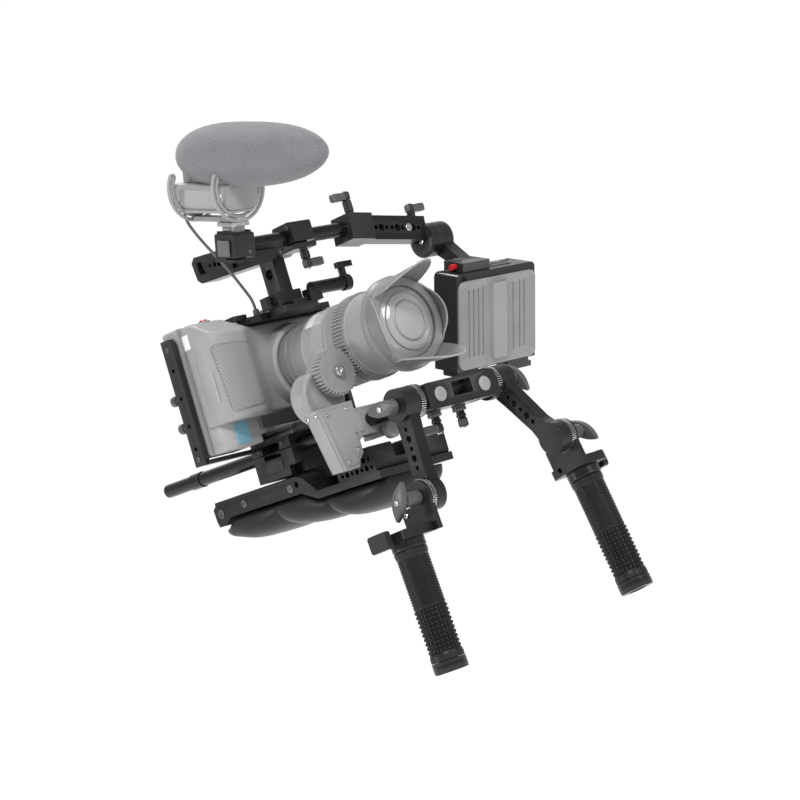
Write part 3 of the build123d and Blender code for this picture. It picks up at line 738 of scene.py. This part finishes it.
def make_hood():
    hood = Shape()
    outside = [(HOOD_REAR, 46.9), (60.4, 47.5), (53.2, 47.5), (52.4, 46.7), (50.0, 46.5)]
    inside = [(50.0, HOOD_SEAT), (HOOD_REAR, HOOD_SEAT)]
    rows = [[(u, v, y) for u, v in circle(r, HOOD_COUNT)] for y, r in outside]
    rows += [hood_ring(share) for share in (0.1, 0.3, 0.5, 0.7, 0.86, 0.96, 1.0)]
    rows += [hood_ring(share, HOOD_THICKNESS) for share in (1.0, 0.96, 0.8, 0.6, 0.4, 0.2, 0.08)]
    rows += [[(u, v, y) for u, v in circle(r, HOOD_COUNT)] for y, r in inside]
    hood.skin(rows, LENS, loop=True)
    hood.done("lens_hood_shell", "hood_plastic", smooth=50, replaces=["lens_hood"])
    rim = Shape()
    rows = []
    for step in range(8):
        turn = 2 * pi * step / 8
        rows.append(hood_ring(1.0, 0.75 - 0.95 * cos(turn), 0.6 * sin(turn) - 0.3))
    rim.skin(rows, LENS, loop=True)
    rim.done("lens_hood_rim", "mic_plastic", smooth=80)


# ---- lens

BARREL_RADIUS = 45.2
REAR_RADIUS = 37.9
ZOOM_RADIUS = 41.1
# Each ring that turns: its ends, its radius and the teeth added here; the CAD node has the focus ring's.
LENS_RINGS = (("focus_ring", 63.5, 94.5, 41.3, 0), ("zoom_ring", 124.0, 163.5, ZOOM_RADIUS, 96))
RING_SEAT = 39
ZOOM_LABEL = (136, 160, 112, 140)
DOT_Y, DOT_ANGLE = 52.0, 128.0
INDEX_ARC = (185.0, 187.2, 150, 205)


def lens_band(shape, *profile):
    """A closed band turned round the lens axis, through (distance, radius) steps."""
    shape.lathe(profile, LENS, 96, loop=True)


def make_barrel():
    barrel = Shape()
    lens_band(barrel, (60.8, 40.0), (60.8, 45.2), (58.4, 45.2), (58.0, 44.6), (57.4, 45.2), (46.6, 45.2),
              (45.8, 44.4), (45.8, 42.0), (47.4, 41.6), (47.4, 39.6), (49.0, 39.2), (49.0, 37.4),
              (50.6, 37.0), (50.6, 35.6), (56.0, 35.0))
    lens_band(barrel, (196.4, 30.0), (196.4, 38.4), (194.0, 38.4), (193.4, 37.8), (189.0, 37.8),
              (188.4, 38.4), (184.0, 38.4), (183.2, 37.9), (168.4, 37.9), (167.6, 38.8), (166.0, 38.8),
              (166.0, 30.0))
    lens_band(barrel, (197.0, 30), (197.0, 36.4), (199.5, 36.4), (200.2, 35.7), (207.4, 35.7), (207.4, 30))
    barrel.done("lens_barrel_rings", "lens_grey", bevel=0.25)


def make_front_element():
    glass = Shape()
    glass.lathe([(52.0, 20), (52.0, 35.3), (49.2, 35.3), (47.9, 33.2), (46.2, 29.4), (44.6, 24.4),
                 (43.4, 18.6), (42.6, 12.4), (42.2, 6.2), (42.05, 1.0)], LENS, 96)
    glass.done("front_element", "lens_glass", smooth=40, replaces=["lens_glass"])
    inner = Shape()
    lens_band(inner, (43.6, 18.0), (42.75, 18.4), (42.5, 19.4), (42.9, 20.2), (44.2, 21.0))
    lens_band(inner, (45.6, 27.6), (44.8, 28.0), (44.9, 29.0), (45.9, 29.2), (46.8, 28.6))
    inner.done("element_rings", "lens_inner")


def make_lens_rings():
    for name, low, high, radius, teeth in LENS_RINGS:
        ring = Shape()
        for start in (low, high - 2.8):
            lens_band(ring, (start, RING_SEAT), (start, radius + 0.2), (start + 1.4, radius + 0.5),
                      (start + 2.8, radius + 0.2), (start + 2.8, RING_SEAT))
        if teeth:
            toothed_band(ring, low + 5, high - 16, RING_SEAT, radius + 0.7, teeth, LENS, 0.6)
        ring.done(name + "_bands", "ring_rubber", name)


def on_lens(radius):
    """The surface of the lens at a radius: u along the lens, v in degrees round it."""
    def surface(u, v, height):
        return LENS @ Vector(polar(radius + height, radians(v), u))
    return surface


def make_lens_marks():
    label = Shape()
    label.sheet_on(on_lens(ZOOM_RADIUS), round_rect(*ZOOM_LABEL, 1.2, 2), 0.35, 5, 0.1)
    label.done("zoom_label", "label", "zoom_ring")
    dot = Shape()
    outline = [(DOT_Y + u, DOT_ANGLE + v * 1.3) for u, v in circle(1.5, 20)]
    dot.sheet_on(on_lens(BARREL_RADIUS), outline, 0.8, 3, 0.2)
    dot.done("index_dot", "silver")
    bow = Shape()
    bow.sheet_on(on_lens(REAR_RADIUS), round_rect(*INDEX_ARC, 0.9, 3), 0.45, 3, 0.15)
    bow.done("index_arc", "silver")


# ---- camera

CAMERA_OUTLINE = [(-110, 262), (-110, 230), (-105, 214), (-91, 208.4), (-68, 208.4), (-57, 216),
                  (-45, 222), (44, 222), (48, 228), (48, 262)]
SHELL = evenly(rounded(CAMERA_OUTLINE, 12, 6), 176)
CAMERA_MIDDLE = (-31.0, 238.0)
OVERHANG_Z = 38.6
FLAT_TOP_Z = 129.8
RECORD_X, RECORD_Y = -84, 247


def camera_top(x, y):
    """The top slopes up behind the grip, and is flat under the cage's plate."""
    slope = 126.5 + 18.5 * smooth_step((y - 206) / 40)
    return FLAT_TOP_Z + (slope - FLAT_TOP_Z) * smooth_step((-54.5 - x) / 6)


def camera_front(u, v, height):
    """The shell's wall: u along its outline, v the height above the rods."""
    point, outward = along_outline(SHELL, u)
    point = point + outward * height
    return (point.x, point.y, v)


def shell_ring(inset, height):
    """The shell's outline drawn in by an inset, at a height that may depend on the place."""
    points = []
    for i, (x, y) in enumerate(SHELL):
        span = Vector(SHELL[(i + 1) % len(SHELL)]) - Vector(SHELL[i - 1])
        outward = Vector((span.y, -span.x)).normalized()
        px, py = x - outward.x * inset, y - outward.y * inset
        points.append((px, py, height(px, py)))
    return points


def make_camera_shell():
    """The front shell: a wall with soft edges, a gently sloping top, a foot and the lens mount."""
    rings = [shell_ring(inset, lambda x, y: OVERHANG_Z + rise)
             for inset, rise in ((4.0, 0), (1.6, 0.5), (0.3, 2.2), (0.0, 5))]
    rings += [shell_ring(inset, lambda x, y: camera_top(x, y) - drop)
              for inset, drop in ((0.0, 8), (0.4, 3.4), (1.6, 1.2), (3.4, 0.2), (5.5, 0))]
    middle = Vector(CAMERA_MIDDLE)
    rim = rings[-1]
    for share in (0.86, 0.7, 0.5, 0.3, 0.12, 0.02):
        points = [middle + (Vector((x, y)) - middle) * share for x, y, z in rim]
        rings.append([(p.x, p.y, camera_top(p.x, p.y)) for p in points])
    shell = Shape()
    shell.skin(rings)
    foot = rounded([(-107, 262), (-107, 240), (-98, 231), (42, 231), (47, 237), (47, 262)], 5)
    shell.prism(foot, 20.4, 42, edge=0.6)
    heel = rounded([(-107, 262), (-107, 240), (-98, 231), (-62.4, 231), (-62.4, 262)], 5)
    shell.prism(heel, 12.5, 22, edge=0.9)
    shell.lathe([(230, 30), (230, 46), (224, 45.2), (217, 43.4), (211, 42.4), (209.4, 42.0), (208.2, 40.8),
                 (208.2, 37.2), (210.0, 36.8), (210.0, 30)], LENS, 96, loop=True)
    shell.done("camera_shell", "grey_shell", smooth=50, replaces=["camera_front_shell"])


def make_camera_grip():
    panel = Shape()
    panel.sheet_on(camera_front, rounded([(51, 116), (96, 112), (97, 49), (56, 47)], 5, 4), 0.7, 9)
    panel.done("grip_panel", "grip_panel")
    # A darker sheet just around the panel: painted shade for the groove where the panel meets the shell.
    groove_shade = Shape()
    edge = rounded([(49.4, 117.8), (97.6, 113.6), (98.6, 47.4), (54.6, 45.2)], 6, 4)
    groove_shade.sheet_on(camera_front, edge, 0.3, 9)
    groove_shade.done("grip_panel_groove_shade", "hood_plastic")
    bar = Shape()
    bar.sheet_on(camera_front, round_rect(42, 45, 60, 92, 1, 2), 1.0, 4)
    for u in (14, 25):
        bar.sheet_on(camera_front, round_rect(u, u + 1.0, 48, 120, 0.4, 1), 0.35, 3, 0.1)
    bar.sheet_on(camera_front, round_rect(4, 6, 46, 128, 0.6, 1), 0.5, 3, 0.1)
    bar.done("camera_side_trim", "mic_plastic")


def make_camera_labels():
    """Blank patches where the camera carries its marks."""
    label = Shape()
    label.sheet_on(camera_front, round_rect(5, 24, 121, 136, 0.8, 2), 0.5, 5, 0.1)
    label.done("camera_label", "label")
    blue = Shape()
    blue.prism(round_rect(-96, -78, 15, 37, 1, 2), -231.5, -230.8, facing("Y", back=True))
    blue.done("camera_lower_label", "blue_label", bevel=0.1)
    marks = Shape()
    for x, y, width in ((-96, 236, 1.0), (-78, 228, 1.2), (-73, 228, 3.0), (-66, 229, 1.0)):
        z = camera_top(x, y)
        marks.prism(round_rect(x, x + width, y, y + 4.5, 0.4, 1), z - 0.6, z + 0.3)
    marks.done("camera_top_marks", "label")


def make_camera_controls():
    knobs = Shape()
    for x, y, radius in ((RECORD_X, RECORD_Y, 7.2), (-98, 250, 3.2), (-68, 250, 3.2)):
        z = camera_top(x, y)
        knobs.lathe([(z - 2, radius), (z + 0.5, radius), (z + 0.9, radius - 0.5), (z + 0.9, radius - 1.6),
                     (z - 0.4, radius - 1.9)], facing("Z", x, y), 40)
    knobs.done("camera_top_bezels", "grey_shell", bevel=0.15)
    button = Shape()
    button.lathe([(140.5, 4.4), (146.9, 4.4), (147.6, 4.0), (148.0, 2.4), (148.0, 0.6)],
                 facing("Z", RECORD_X, RECORD_Y), 40)
    button.done("record_button_cap", "red_plastic", "record_button", replaces=["record_button"])


def make_camera_rear():
    """Ribs on the battery, and two rows of buttons beside a plain panel."""
    battery = Shape()
    back = facing("Y")
    battery.prism(round_rect(-80, -20, 38, 100, 3), 311.4, 312.8, back, 0.5)
    for row in range(6):
        battery.prism(round_rect(-76, -24, 46 + row * 8, 48.4 + row * 8, 1.1, 2), 312.4, 313.4, back, 0.3)
    battery.done("battery_ribs", "hood_plastic")
    buttons = Shape()
    for row in range(4):
        buttons.prism(circle(3.4, 24, -98, 50 + 16 * row), 285.5, 287.4, back, 0.4)
        buttons.prism(round_rect(-8, 4, 46 + 14 * row, 50 + 14 * row, 1.8, 3), 285.5, 287.2, back, 0.4)
    buttons.prism(round_rect(12, 42, 34, 110, 4), 285.5, 286.8, back, 0.4)
    buttons.done("camera_rear_controls", "hood_plastic")


# ---- cage

CAGE_TOP_Z = 137.2
HOOK_OUTLINE = [(-60, 228), (-42, 228), (-42, 233), (-54, 233), (-54, 246), (-42, 246), (-42, 251),
                (-60, 251)]


def make_cage_details():
    thumbs = Shape()
    ends, grip = toothed(4.6, 0.4, 20), toothed(5.4, 0.5, 20)
    for z in (77, 48):
        at = facing("Y", -114, 0, z)
        thumbs.lathe([(281.5, 2.2), (286, 2.2)], at, 24)
        thumbs.layers([(285.6, ends), (286.4, grip), (291.0, grip), (291.8, ends)], at)
    thumbs.done("cage_thumb_screws", "satin_grey")
    hook = Shape()
    hook.prism(rounded(HOOK_OUTLINE, 2.5, 3), CAGE_TOP_Z, 143, edge=0.4)
    hook.done("cable_hook", "black_anodised")
    light = Shape()
    light.prism(round_rect(-53, -40, 234, 245, 1.5, 3), CAGE_TOP_Z, 142, edge=0.5)
    light.prism(round_rect(-33, -24.6, 206, 231, 3, 4), CAGE_TOP_Z, 142, edge=0.7)
    light.done("cage_pads", "light_clamp")
    screws = Shape()
    for x, y in ((-46, 222), (-46, 278), (48, 222), (48, 278), (6, 262), (-22, 262)):
        cap_screw(screws, facing("Z", x, y, 137), 2.6, 1.2)
    for y, z in ((232, 20), (268, 20), (232, 122), (268, 122)):
        cap_screw(screws, facing("X", 54, y, z), 2.4, 1.2)
    for z in (128, 13):
        cap_screw(screws, facing("X", -117.5, 274, z, back=True), 2.6, 1.2)
    screws.done("cage_screws", "satin_grey")


# ---- focus motor

MOTOR_GEAR = (-59.8163, 52.1072)
MOTOR_DISC = (-73.0, 33.0)
MOTOR_KNOB = (-16, -15)
MOTOR_FACE_Y = 100.6


def make_motor_details():
    gear_x, gear_z = MOTOR_GEAR
    screw = Shape()
    cap_screw(screw, facing("Y", gear_x, 95.6, gear_z, back=True), 5.4, 3.0)
    screw.done("motor_gear_screw", "silver", "motor_gear")
    disc_x, disc_z = MOTOR_DISC
    dish = Shape()
    dish.lathe([(131.8, 24.8), (130.6, 26.1), (114.8, 26.1), (111.6, 25.0), (110.7, 23.6), (110.9, 22.4),
                (111.8, 19), (112.2, 12), (112.3, 2)], facing("Y", disc_x, 0, disc_z), 72)
    dish.done("motor_cover", "motor_grey", smooth=45)
    plate = Shape()
    outline = [(-91, 17), (-54, 18.5), (-54, -14), (-57.5, -17), (-57.5, -28), (-62.5, -33), (-65, -39.5),
               (-79, -39.5)]
    strip = [(-96, 20), (-92, 20), (-78, -43), (-82, -43)]
    plate.prism(rounded(outline, 3), MOTOR_FACE_Y, 102.4, facing("Y"), 0.7)
    plate.prism(rounded(strip, 1.5, 2), 105, 121, facing("Y"), 0.4)
    plate.prism(round_rect(-51, -44, -10, 10, 2), 102.8, 104.2, facing("Y"), 0.5)
    plate.done("motor_face", "motor_grey", smooth=40)
    screws = Shape()
    for x, z in ((-87, 12.5), (-61, 14.5), (-57, -11), (-60.5, -26), (-76, -36)):
        cap_screw(screws, facing("Y", x, MOTOR_FACE_Y, z, back=True), 1.9, 0.9)
    for y in (108, 120):
        cap_screw(screws, facing("X", -94.6, y, 14, back=True), 2.2, 1.6)
    screws.done("motor_screws", "silver")


def make_motor_knob():
    x, z = MOTOR_KNOB
    knob = Shape()
    ribbed = toothed(9.0, 0.6, 28)
    knob.layers([(103.6, circle(5, 112)), (100.0, circle(5, 112)), (100.0, toothed(8.4, 0.4, 28)),
                 (99.2, ribbed), (92.4, ribbed), (91.0, toothed(8.0, 0.3, 28)), (90.2, circle(6.2, 112)),
                 (90.0, circle(2, 112))], facing("Y", x, 0, z))
    knob.done("motor_knob_wheel", "motor_grey", "motor_knob", smooth=40, replaces=["motor_knob"])


# ---- microphone

WINDSHIELD_REAR = 71
WINDSHIELD_LENGTH = 214
WINDSHIELD_RADIUS = 33.0
WINDSHIELD_RINGS = 40
WINDSHIELD_RISE = 90


def tube(shape, path, axis, radius, at=Matrix(), count=10, closed=True):
    """A round bar along a flat path; axis is square to the path's plane."""
    rings = []
    for i, here in enumerate(path):
        before = path[i - 1] if closed or i else path[0]
        after = path[(i + 1) % len(path)] if closed or i < len(path) - 1 else path[-1]
        along = (Vector(after) - Vector(before)).normalized()
        side = along.cross(axis)
        rings.append([tuple(Vector(here) + (side * cos(a) + axis * sin(a)) * radius)
                      for a in (2 * pi * k / count for k in range(count))])
    shape.skin(rings, at, loop=closed)


def arc(radius, first, last, steps=30):
    """Points along a round stretch, from one angle to another."""
    return [polar(radius, radians(first + (last - first) * k / steps)) for k in range(steps + 1)]


def lyre_end(angle, middle, half, sign):
    """The half circle that joins the two sides of a lyre, outwards at its last end."""
    points = []
    for k in range(1, 6):
        turn = radians(180 * k / 6)
        reach = middle + sign * half * cos(turn)
        lift = sign * half * sin(turn)
        points.append((reach * cos(angle) - lift * sin(angle),
                       reach * sin(angle) + lift * cos(angle)))
    return points


def lyre_path(outer, inner, first, last):
    """A long loop bent round a circle: out along one side, back along the other."""
    middle, half = (outer + inner) / 2, (outer - inner) / 2
    path = arc(outer, first, last) + lyre_end(radians(last), middle, half, 1)
    return path + arc(inner, last, first) + lyre_end(radians(first), middle, half, -1)


def make_windshield():
    """A blunt foam body, a little slimmer and higher towards the front."""
    cover = Shape(MICROPHONE)
    rings = []
    for step in range(WINDSHIELD_RINGS + 1):
        t = 0.004 + 0.992 * step / WINDSHIELD_RINGS
        swell = (1 - abs(2 * t - 1) ** 2.9) ** 0.5
        radius = (WINDSHIELD_RADIUS - 7.0 * t ** 2.2) * swell
        y = WINDSHIELD_REAR - WINDSHIELD_LENGTH * t
        rise = WINDSHIELD_RISE + 3.0 * t * t
        rings.append([(u, y, v + rise) for u, v in circle(radius, 64)])
    cover.skin(rings)
    windshield = cover.done("windshield_foam", "foam", smooth=60, replaces=["mic_windshield"])


def make_shock_mount():
    """Two lyres with their inner hooks, on a rail with a knurled nut."""
    across = Vector((0, 1, 0))
    mount = Shape(MICROPHONE)
    for y in (-12, 56):
        path = [(u, 0, v) for u, v in lyre_path(32, 27, -205, 25)]
        tube(mount, path, across, 1.9, move(0, y, 58))
        for side in (-1, 1):
            hook = [(side * 27, 0, 49), (side * 24, 0, 45.5), (side * 21.5, 0, 47), (side * 20, 0, 51)]
            tube(mount, hook, across, 1.7, move(0, y, 0), closed=False)
    mount.prism(round_rect(-7, 7, -14, 58, 4), 25.2, 30, edge=0.6)
    mount.prism(round_rect(-10.5, 10.5, -14, 14, 3), 21, 25, edge=0.5)
    mount.prism(round_rect(-7.6, 7.6, -9, 9, 1.2, 2), 15.2, 21.2)
    nut = toothed(10.6, 0.6, 32)
    mount.layers([(17.2, nut), (19.8, nut)])
    mount.done("shock_mount", "mic_plastic", smooth=45, replaces=["mic_mount"])


def make_microphone_details():
    details = Shape(MICROPHONE)
    details.prism(round_rect(-17, 17, -17, 65, 6), 34.6, 38.6, edge=1.5)
    details.prism(round_rect(-4, 46, 42, 58, 4), -21.0, -19.5, facing("X"), 0.5)
    details.prism(round_rect(50, 62, 42, 60, 3), -20.8, -19.5, facing("X"), 0.4)
    details.prism(round_rect(-4, 46, 42, 58, 4), 19.5, 21.0, facing("X"), 0.5)
    details.done("microphone_panels", "mic_plastic", smooth=45)
    lamp = Shape(MICROPHONE)
    lamp.lathe([(-20.6, 2.0), (-21.4, 2.0), (-21.9, 1.4), (-22.1, 0.4)], facing("X", 0, -10, 52), 20)
    lamp.done("microphone_lamp", "label")


# ---- monitor and its arm

HUB_AXIS_Y, HUB_AXIS_Z = 158, 174
SLOT_HEIGHTS = (97.0, 98.0)
MONITOR_LEFT, MONITOR_RIGHT = 136.5, 253.5
MONITOR_LOW, MONITOR_HIGH = -4.5, 89.0
MONITOR_CORNER = 9.0
PANEL_BACK, PANEL_FACE = -3.06, -5.6
GROOVES = (13, 20, 27, 34, 80, 90, 97)
GROOVE_DEPTH = 1.2
BUMP_MIDDLE, BUMP_RISE = 59, 5.0


def make_monitor_cage():
    posts = Shape(MONITOR)
    for x in (176, 186):
        posts.lathe([(88.4, 3.2), (91, 3.2), (91.6, 2.6), (94, 2.6)], facing("Z", x, 2, 0), 24)
    cap_screw(posts, facing("Z", 160, 20, 107), 4.4, 2.0)
    for x in (150, 240):
        cap_screw(posts, facing("Z", x, 24, 97), 2.4, 1.2)
    posts.done("monitor_cage_screws", "satin_grey", "monitor")
    slot = Shape(MONITOR)
    low, high = SLOT_HEIGHTS
    outer, inner = round_rect(196, 232, 8, 20, 6, 5), round_rect(199, 229, 11, 17, 3, 5)
    slot.layers([(low, outer), (high, outer), (high, inner), (low, inner)], loop=True)
    slot.done("monitor_top_slot", "satin_grey", "monitor")
    foot = Shape(MONITOR)
    knurl = toothed(5.6, 0.5, 18)
    foot.prism(round_rect(137, 170, -2, 22, 4), -12, -5.8, edge=0.6)
    foot.layers([(-20.4, knurl), (-15, knurl)], facing("Z", 225, 14))
    foot.lathe([(-3.4, 3.0), (-3.4, 1.0)], facing("Y", 146, 0, 92), 20)
    foot.done("monitor_feet", "black_anodised", "monitor")
    glass = Shape(MONITOR)
    glass.prism(round_rect(147, 242, 8, 80, 1.5), 20.4, 21.2, facing("Y"), 0.2)
    glass.done("monitor_screen", "screen", "monitor")


def make_monitor_hub():
    at = facing("X", 0, HUB_AXIS_Y, HUB_AXIS_Z)
    fixed = Shape()
    fixed.lathe([(157.8, 10), (157.8, 16.6), (158.6, 18.1), (160.6, 18.1), (161.0, 17.4), (161.6, 18.1),
                 (164.4, 18.1), (164.8, 17.4), (165.4, 18.1), (169.4, 18.1), (170.0, 17.4), (170.0, 10)],
                at, 72, loop=True)
    fixed.done("hub_ribs", "black_anodised", "monitor_arm")
    turning = Shape()
    turning.lathe([(170.5, 10), (170.5, 17.5), (171.2, 18.1), (174.4, 18.1), (174.8, 17.4), (175.4, 18.1),
                   (186.4, 18.1), (188.2, 16.6), (188.4, 13.2), (190.2, 12.8), (190.4, 8)], at, 72)
    turning.done("hub_cover", "black_anodised", "monitor")
    screw = Shape()
    cap_screw(screw, facing("Y", 136, 148.8, 189.5, back=True), 4.2, 1.4)
    cap_screw(screw, facing("X", 157.8, HUB_AXIS_Y, HUB_AXIS_Z, back=True), 3.2, 1.4)
    screw.done("arm_end_screw", "silver", "monitor_arm")


def panel_stations():
    """Where the panel's sections lie, and how far each one's middle is sunk (or raised, if below 0)."""
    stations = {}
    for step in (0.0, 0.5, 1.4, 2.8, 4.6, 6.6, MONITOR_CORNER):
        stations[MONITOR_LEFT + step] = stations[MONITOR_RIGHT - step] = 0.0
    for groove_shade in GROOVES:
        for step, depth in ((0, 0), (0.5, GROOVE_DEPTH), (1.7, GROOVE_DEPTH), (2.2, 0)):
            stations[MONITOR_LEFT + groove_shade + step] = depth
    for step in range(-8, 9):
        stations[MONITOR_LEFT + BUMP_MIDDLE + step * 1.5] = -BUMP_RISE * sqrt(1 - (step / 8) ** 2)
    return stations


def make_monitor_panel():
    """The grey back of the monitor: rounded corners, a half-round bump and upright grooves."""
    rings = []
    for x, depth in sorted(panel_stations().items()):
        edge = min(x - MONITOR_LEFT, MONITOR_RIGHT - x)
        lean = MONITOR_CORNER - min(edge, MONITOR_CORNER)
        inset = MONITOR_CORNER - sqrt(max(0.0, MONITOR_CORNER ** 2 - lean ** 2))
        bottom, top = MONITOR_LOW + inset, MONITOR_HIGH - inset
        face = PANEL_FACE + max(0.0, 1.4 - edge)
        inner_low, inner_high = (8.0, 80.0) if depth >= 0 else (2.0, 84.0)
        first, last = max(bottom + 1.6, inner_low), min(top - 1.6, inner_high)
        profile = [(bottom, PANEL_BACK), (bottom, face + 1.2), (bottom + 1.0, face), (first, face),
                   (first + 0.5, face + depth), (last - 0.5, face + depth), (last, face),
                   (top - 1.0, face), (top, face + 1.2), (top, PANEL_BACK)]
        rings.append([(x, y, z) for z, y in profile])
    panel = Shape(MONITOR)
    panel.skin(rings)
    panel.done("monitor_back_panel", "monitor_grey", "monitor", smooth=32)


# ---- top handle and clamps

# Screws in the right faces of the handle's post, its clamp and the camera plate: their place,
# radius and height.
CLAMP_SCREWS = ((-26, 150, 209, 2.4, 1.2), (-26, 168, 190, 2.4, 1.2), (-22, 200.5, 147, 2.2, 15.5),
                (-22, 200.5, 181, 2.0, 0.8), (-46, 228, 6.5, 2.2, 1.0), (-46, 268, 6.5, 2.2, 1.0))


def make_handle_details():
    screws = Shape()
    for x, y, z, radius, height in CLAMP_SCREWS:
        cap_screw(screws, facing("X", x, y, z, back=True), radius, height)
    screws.done("clamp_screws", "satin_grey")
    plates = Shape()
    base_plate = round_rect(234, 262, -20, -9, 1.5, 2)
    plates.prism(base_plate, -46.9, -45.8, facing("X"), 0.2)
    plates.prism(base_plate, 45.8, 46.9, facing("X"), 0.2)
    plates.prism(round_rect(189, 199, 143, 151, 1.2, 2), -30.0, -29.0, facing("X"), 0.2)
    plates.done("blank_plates", "black_anodised")
    shoe = Shape(MICROPHONE)
    shoe.prism(round_rect(-9, 9, -8, 8, 1.5, 2), 14.4, 15.2, facing("X", back=True), 0.2)
    cap_screw(shoe, facing("Y", 6, -15, -5, back=True), 2.0, 1.0)
    shoe.done("shoe_clamp_trim", "satin_grey")


# ---- rods and their front clamp

def make_rod_details():
    caps = Shape()
    for x in (-30, 30):
        caps.lathe([(1.0, 4.8), (0.0, 7.2), (-0.5, 7.3), (-1.5, 6.6), (-2.1, 4.4), (-2.3, 1.2)],
                   facing("Y", x, 0, 0), 40)
    caps.done("rod_plugs", "mic_plastic")
    front = Shape()
    for x in (-38, 38):
        cap_screw(front, facing("Z", x, 30, 13), 2.4, 1.2)
    for x in (-17, 17):
        front.lathe([(-18.4, 6.6), (-17.8, 7.0), (-15.4, 7.0), (-15.0, 6.4), (-14.4, 7.0), (-13.2, 7.0),
                     (-12.8, 6.4)], facing("Z", x, 30), 32)
    front.done("front_clamp_nuts", "satin_grey", "front_clamp")


# ---- shoulder pad

# Each moulded lobe: its front and rear end, and how much further down it reaches than the first.
LOBES = ((98, 196, 0.0), (176, 280, 0.6), (258, 364, 0.2))
LOBE_STEPS = 20
PAD_FRONT, PAD_REAR = 100, 362
PAD_HALF_WIDTH = 49.5


def pad_ceiling(y):
    """The underside of the shoulder plate, which the pad is moulded against."""
    rise = smooth_step((y - 191) / 25) * 10
    fall = smooth_step((y - 336) / 22) * 10
    return -59.8 + rise - fall


def pad_floor(y):
    return -88 + 8.5 * smooth_step((y - 150) / 110)


def lobe_ring(y, half, top, depth):
    """A section of a lobe: nearly square shoulders above, a rounder belly below."""
    ring = []
    for k in range(40):
        angle = 2 * pi * k / 40
        cosine, sine = cos(angle), sin(angle)
        x = half * copysign(abs(cosine) ** 0.55, cosine)
        if sine > 0:
            z = top - depth * 0.34 * (1 - sine ** 0.35)
        else:
            z = top - depth * (0.34 + 0.66 * abs(sine) ** 0.8)
        ring.append((x, y, z))
    return ring


def make_pad():
    pad = Shape()
    for first, last, drop in LOBES:
        rings = []
        for step in range(LOBE_STEPS + 1):
            t = step / LOBE_STEPS
            y = first + (last - first) * t
            bulge = max(0.16, (1 - abs(2 * t - 1) ** 2.6) ** 0.55)
            top = pad_ceiling(min(PAD_REAR, max(PAD_FRONT, y)))
            depth = (top - pad_floor(y) + drop) * bulge
            rings.append(lobe_ring(y, PAD_HALF_WIDTH * (0.72 + 0.28 * bulge), top, depth))
        pad.skin(rings)
    cushion = pad.done("shoulder_cushion", "pad_rubber", "shoulder", smooth=60, replaces=["shoulder_pad"])


def make_pad_studs():
    studs = Shape()
    for side in (-1, 1):
        for y, z in ((309, -40), (230, -41)):
            studs.lathe([(48.5, 4.2), (50.6, 4.2), (51.2, 3.4), (51.2, 1.6), (50.4, 1.2)],
                        mirror(side) @ facing("X", 0, y, z), 28)
        studs.lathe([(46, 5), (50.8, 5), (50.8, 3.4), (50.0, 3.0)],
                    mirror(side) @ facing("X", 0, 351, -43), 28)
    studs.done("shoulder_plate_studs", "satin_grey", "shoulder")


# ---- finish of the CAD nodes

NODE_EDGE = 0.45
NODE_EDGE_ANGLE = 38


def dress_node(node, material):
    """Gives a CAD node its material and, by modifiers, small rounded edges."""
    data = node.data
    data.materials.clear()
    data.materials.append(material)
    data.polygons.foreach_set("use_smooth", [True] * len(data.polygons))
    if "custom_normal" in data.attributes:
        data.attributes.remove(data.attributes["custom_normal"])
    weld = node.modifiers.new("weld", "WELD")
    weld.merge_threshold = 2e-6
    merge = node.modifiers.new("planar", "DECIMATE")
    merge.decimate_type = "DISSOLVE"
    merge.angle_limit = radians(0.6)
    add_bevel(node, NODE_EDGE, NODE_EDGE_ANGLE)


for entry in frame["record"]["subparts"]:
    dress_node(frame["nodes"][entry["node"]], MATERIALS[entry["material_slot"]])
make_camera()
make_room()
for light in LIGHTS:
    make_light(*light)
make_floor()
make_cable()
make_handgrips()
make_thumb_levers()
make_hood()
make_barrel()
make_front_element()
make_lens_rings()
make_lens_marks()
make_camera_shell()
make_camera_grip()
make_camera_labels()
make_camera_controls()
make_camera_rear()
make_cage_details()
make_motor_details()
make_motor_knob()
make_windshield()
make_shock_mount()
make_microphone_details()
make_monitor_cage()
make_monitor_hub()
make_monitor_panel()
make_handle_details()
make_rod_details()
make_pad()
make_pad_studs()

bpy.context.view_layer.update()
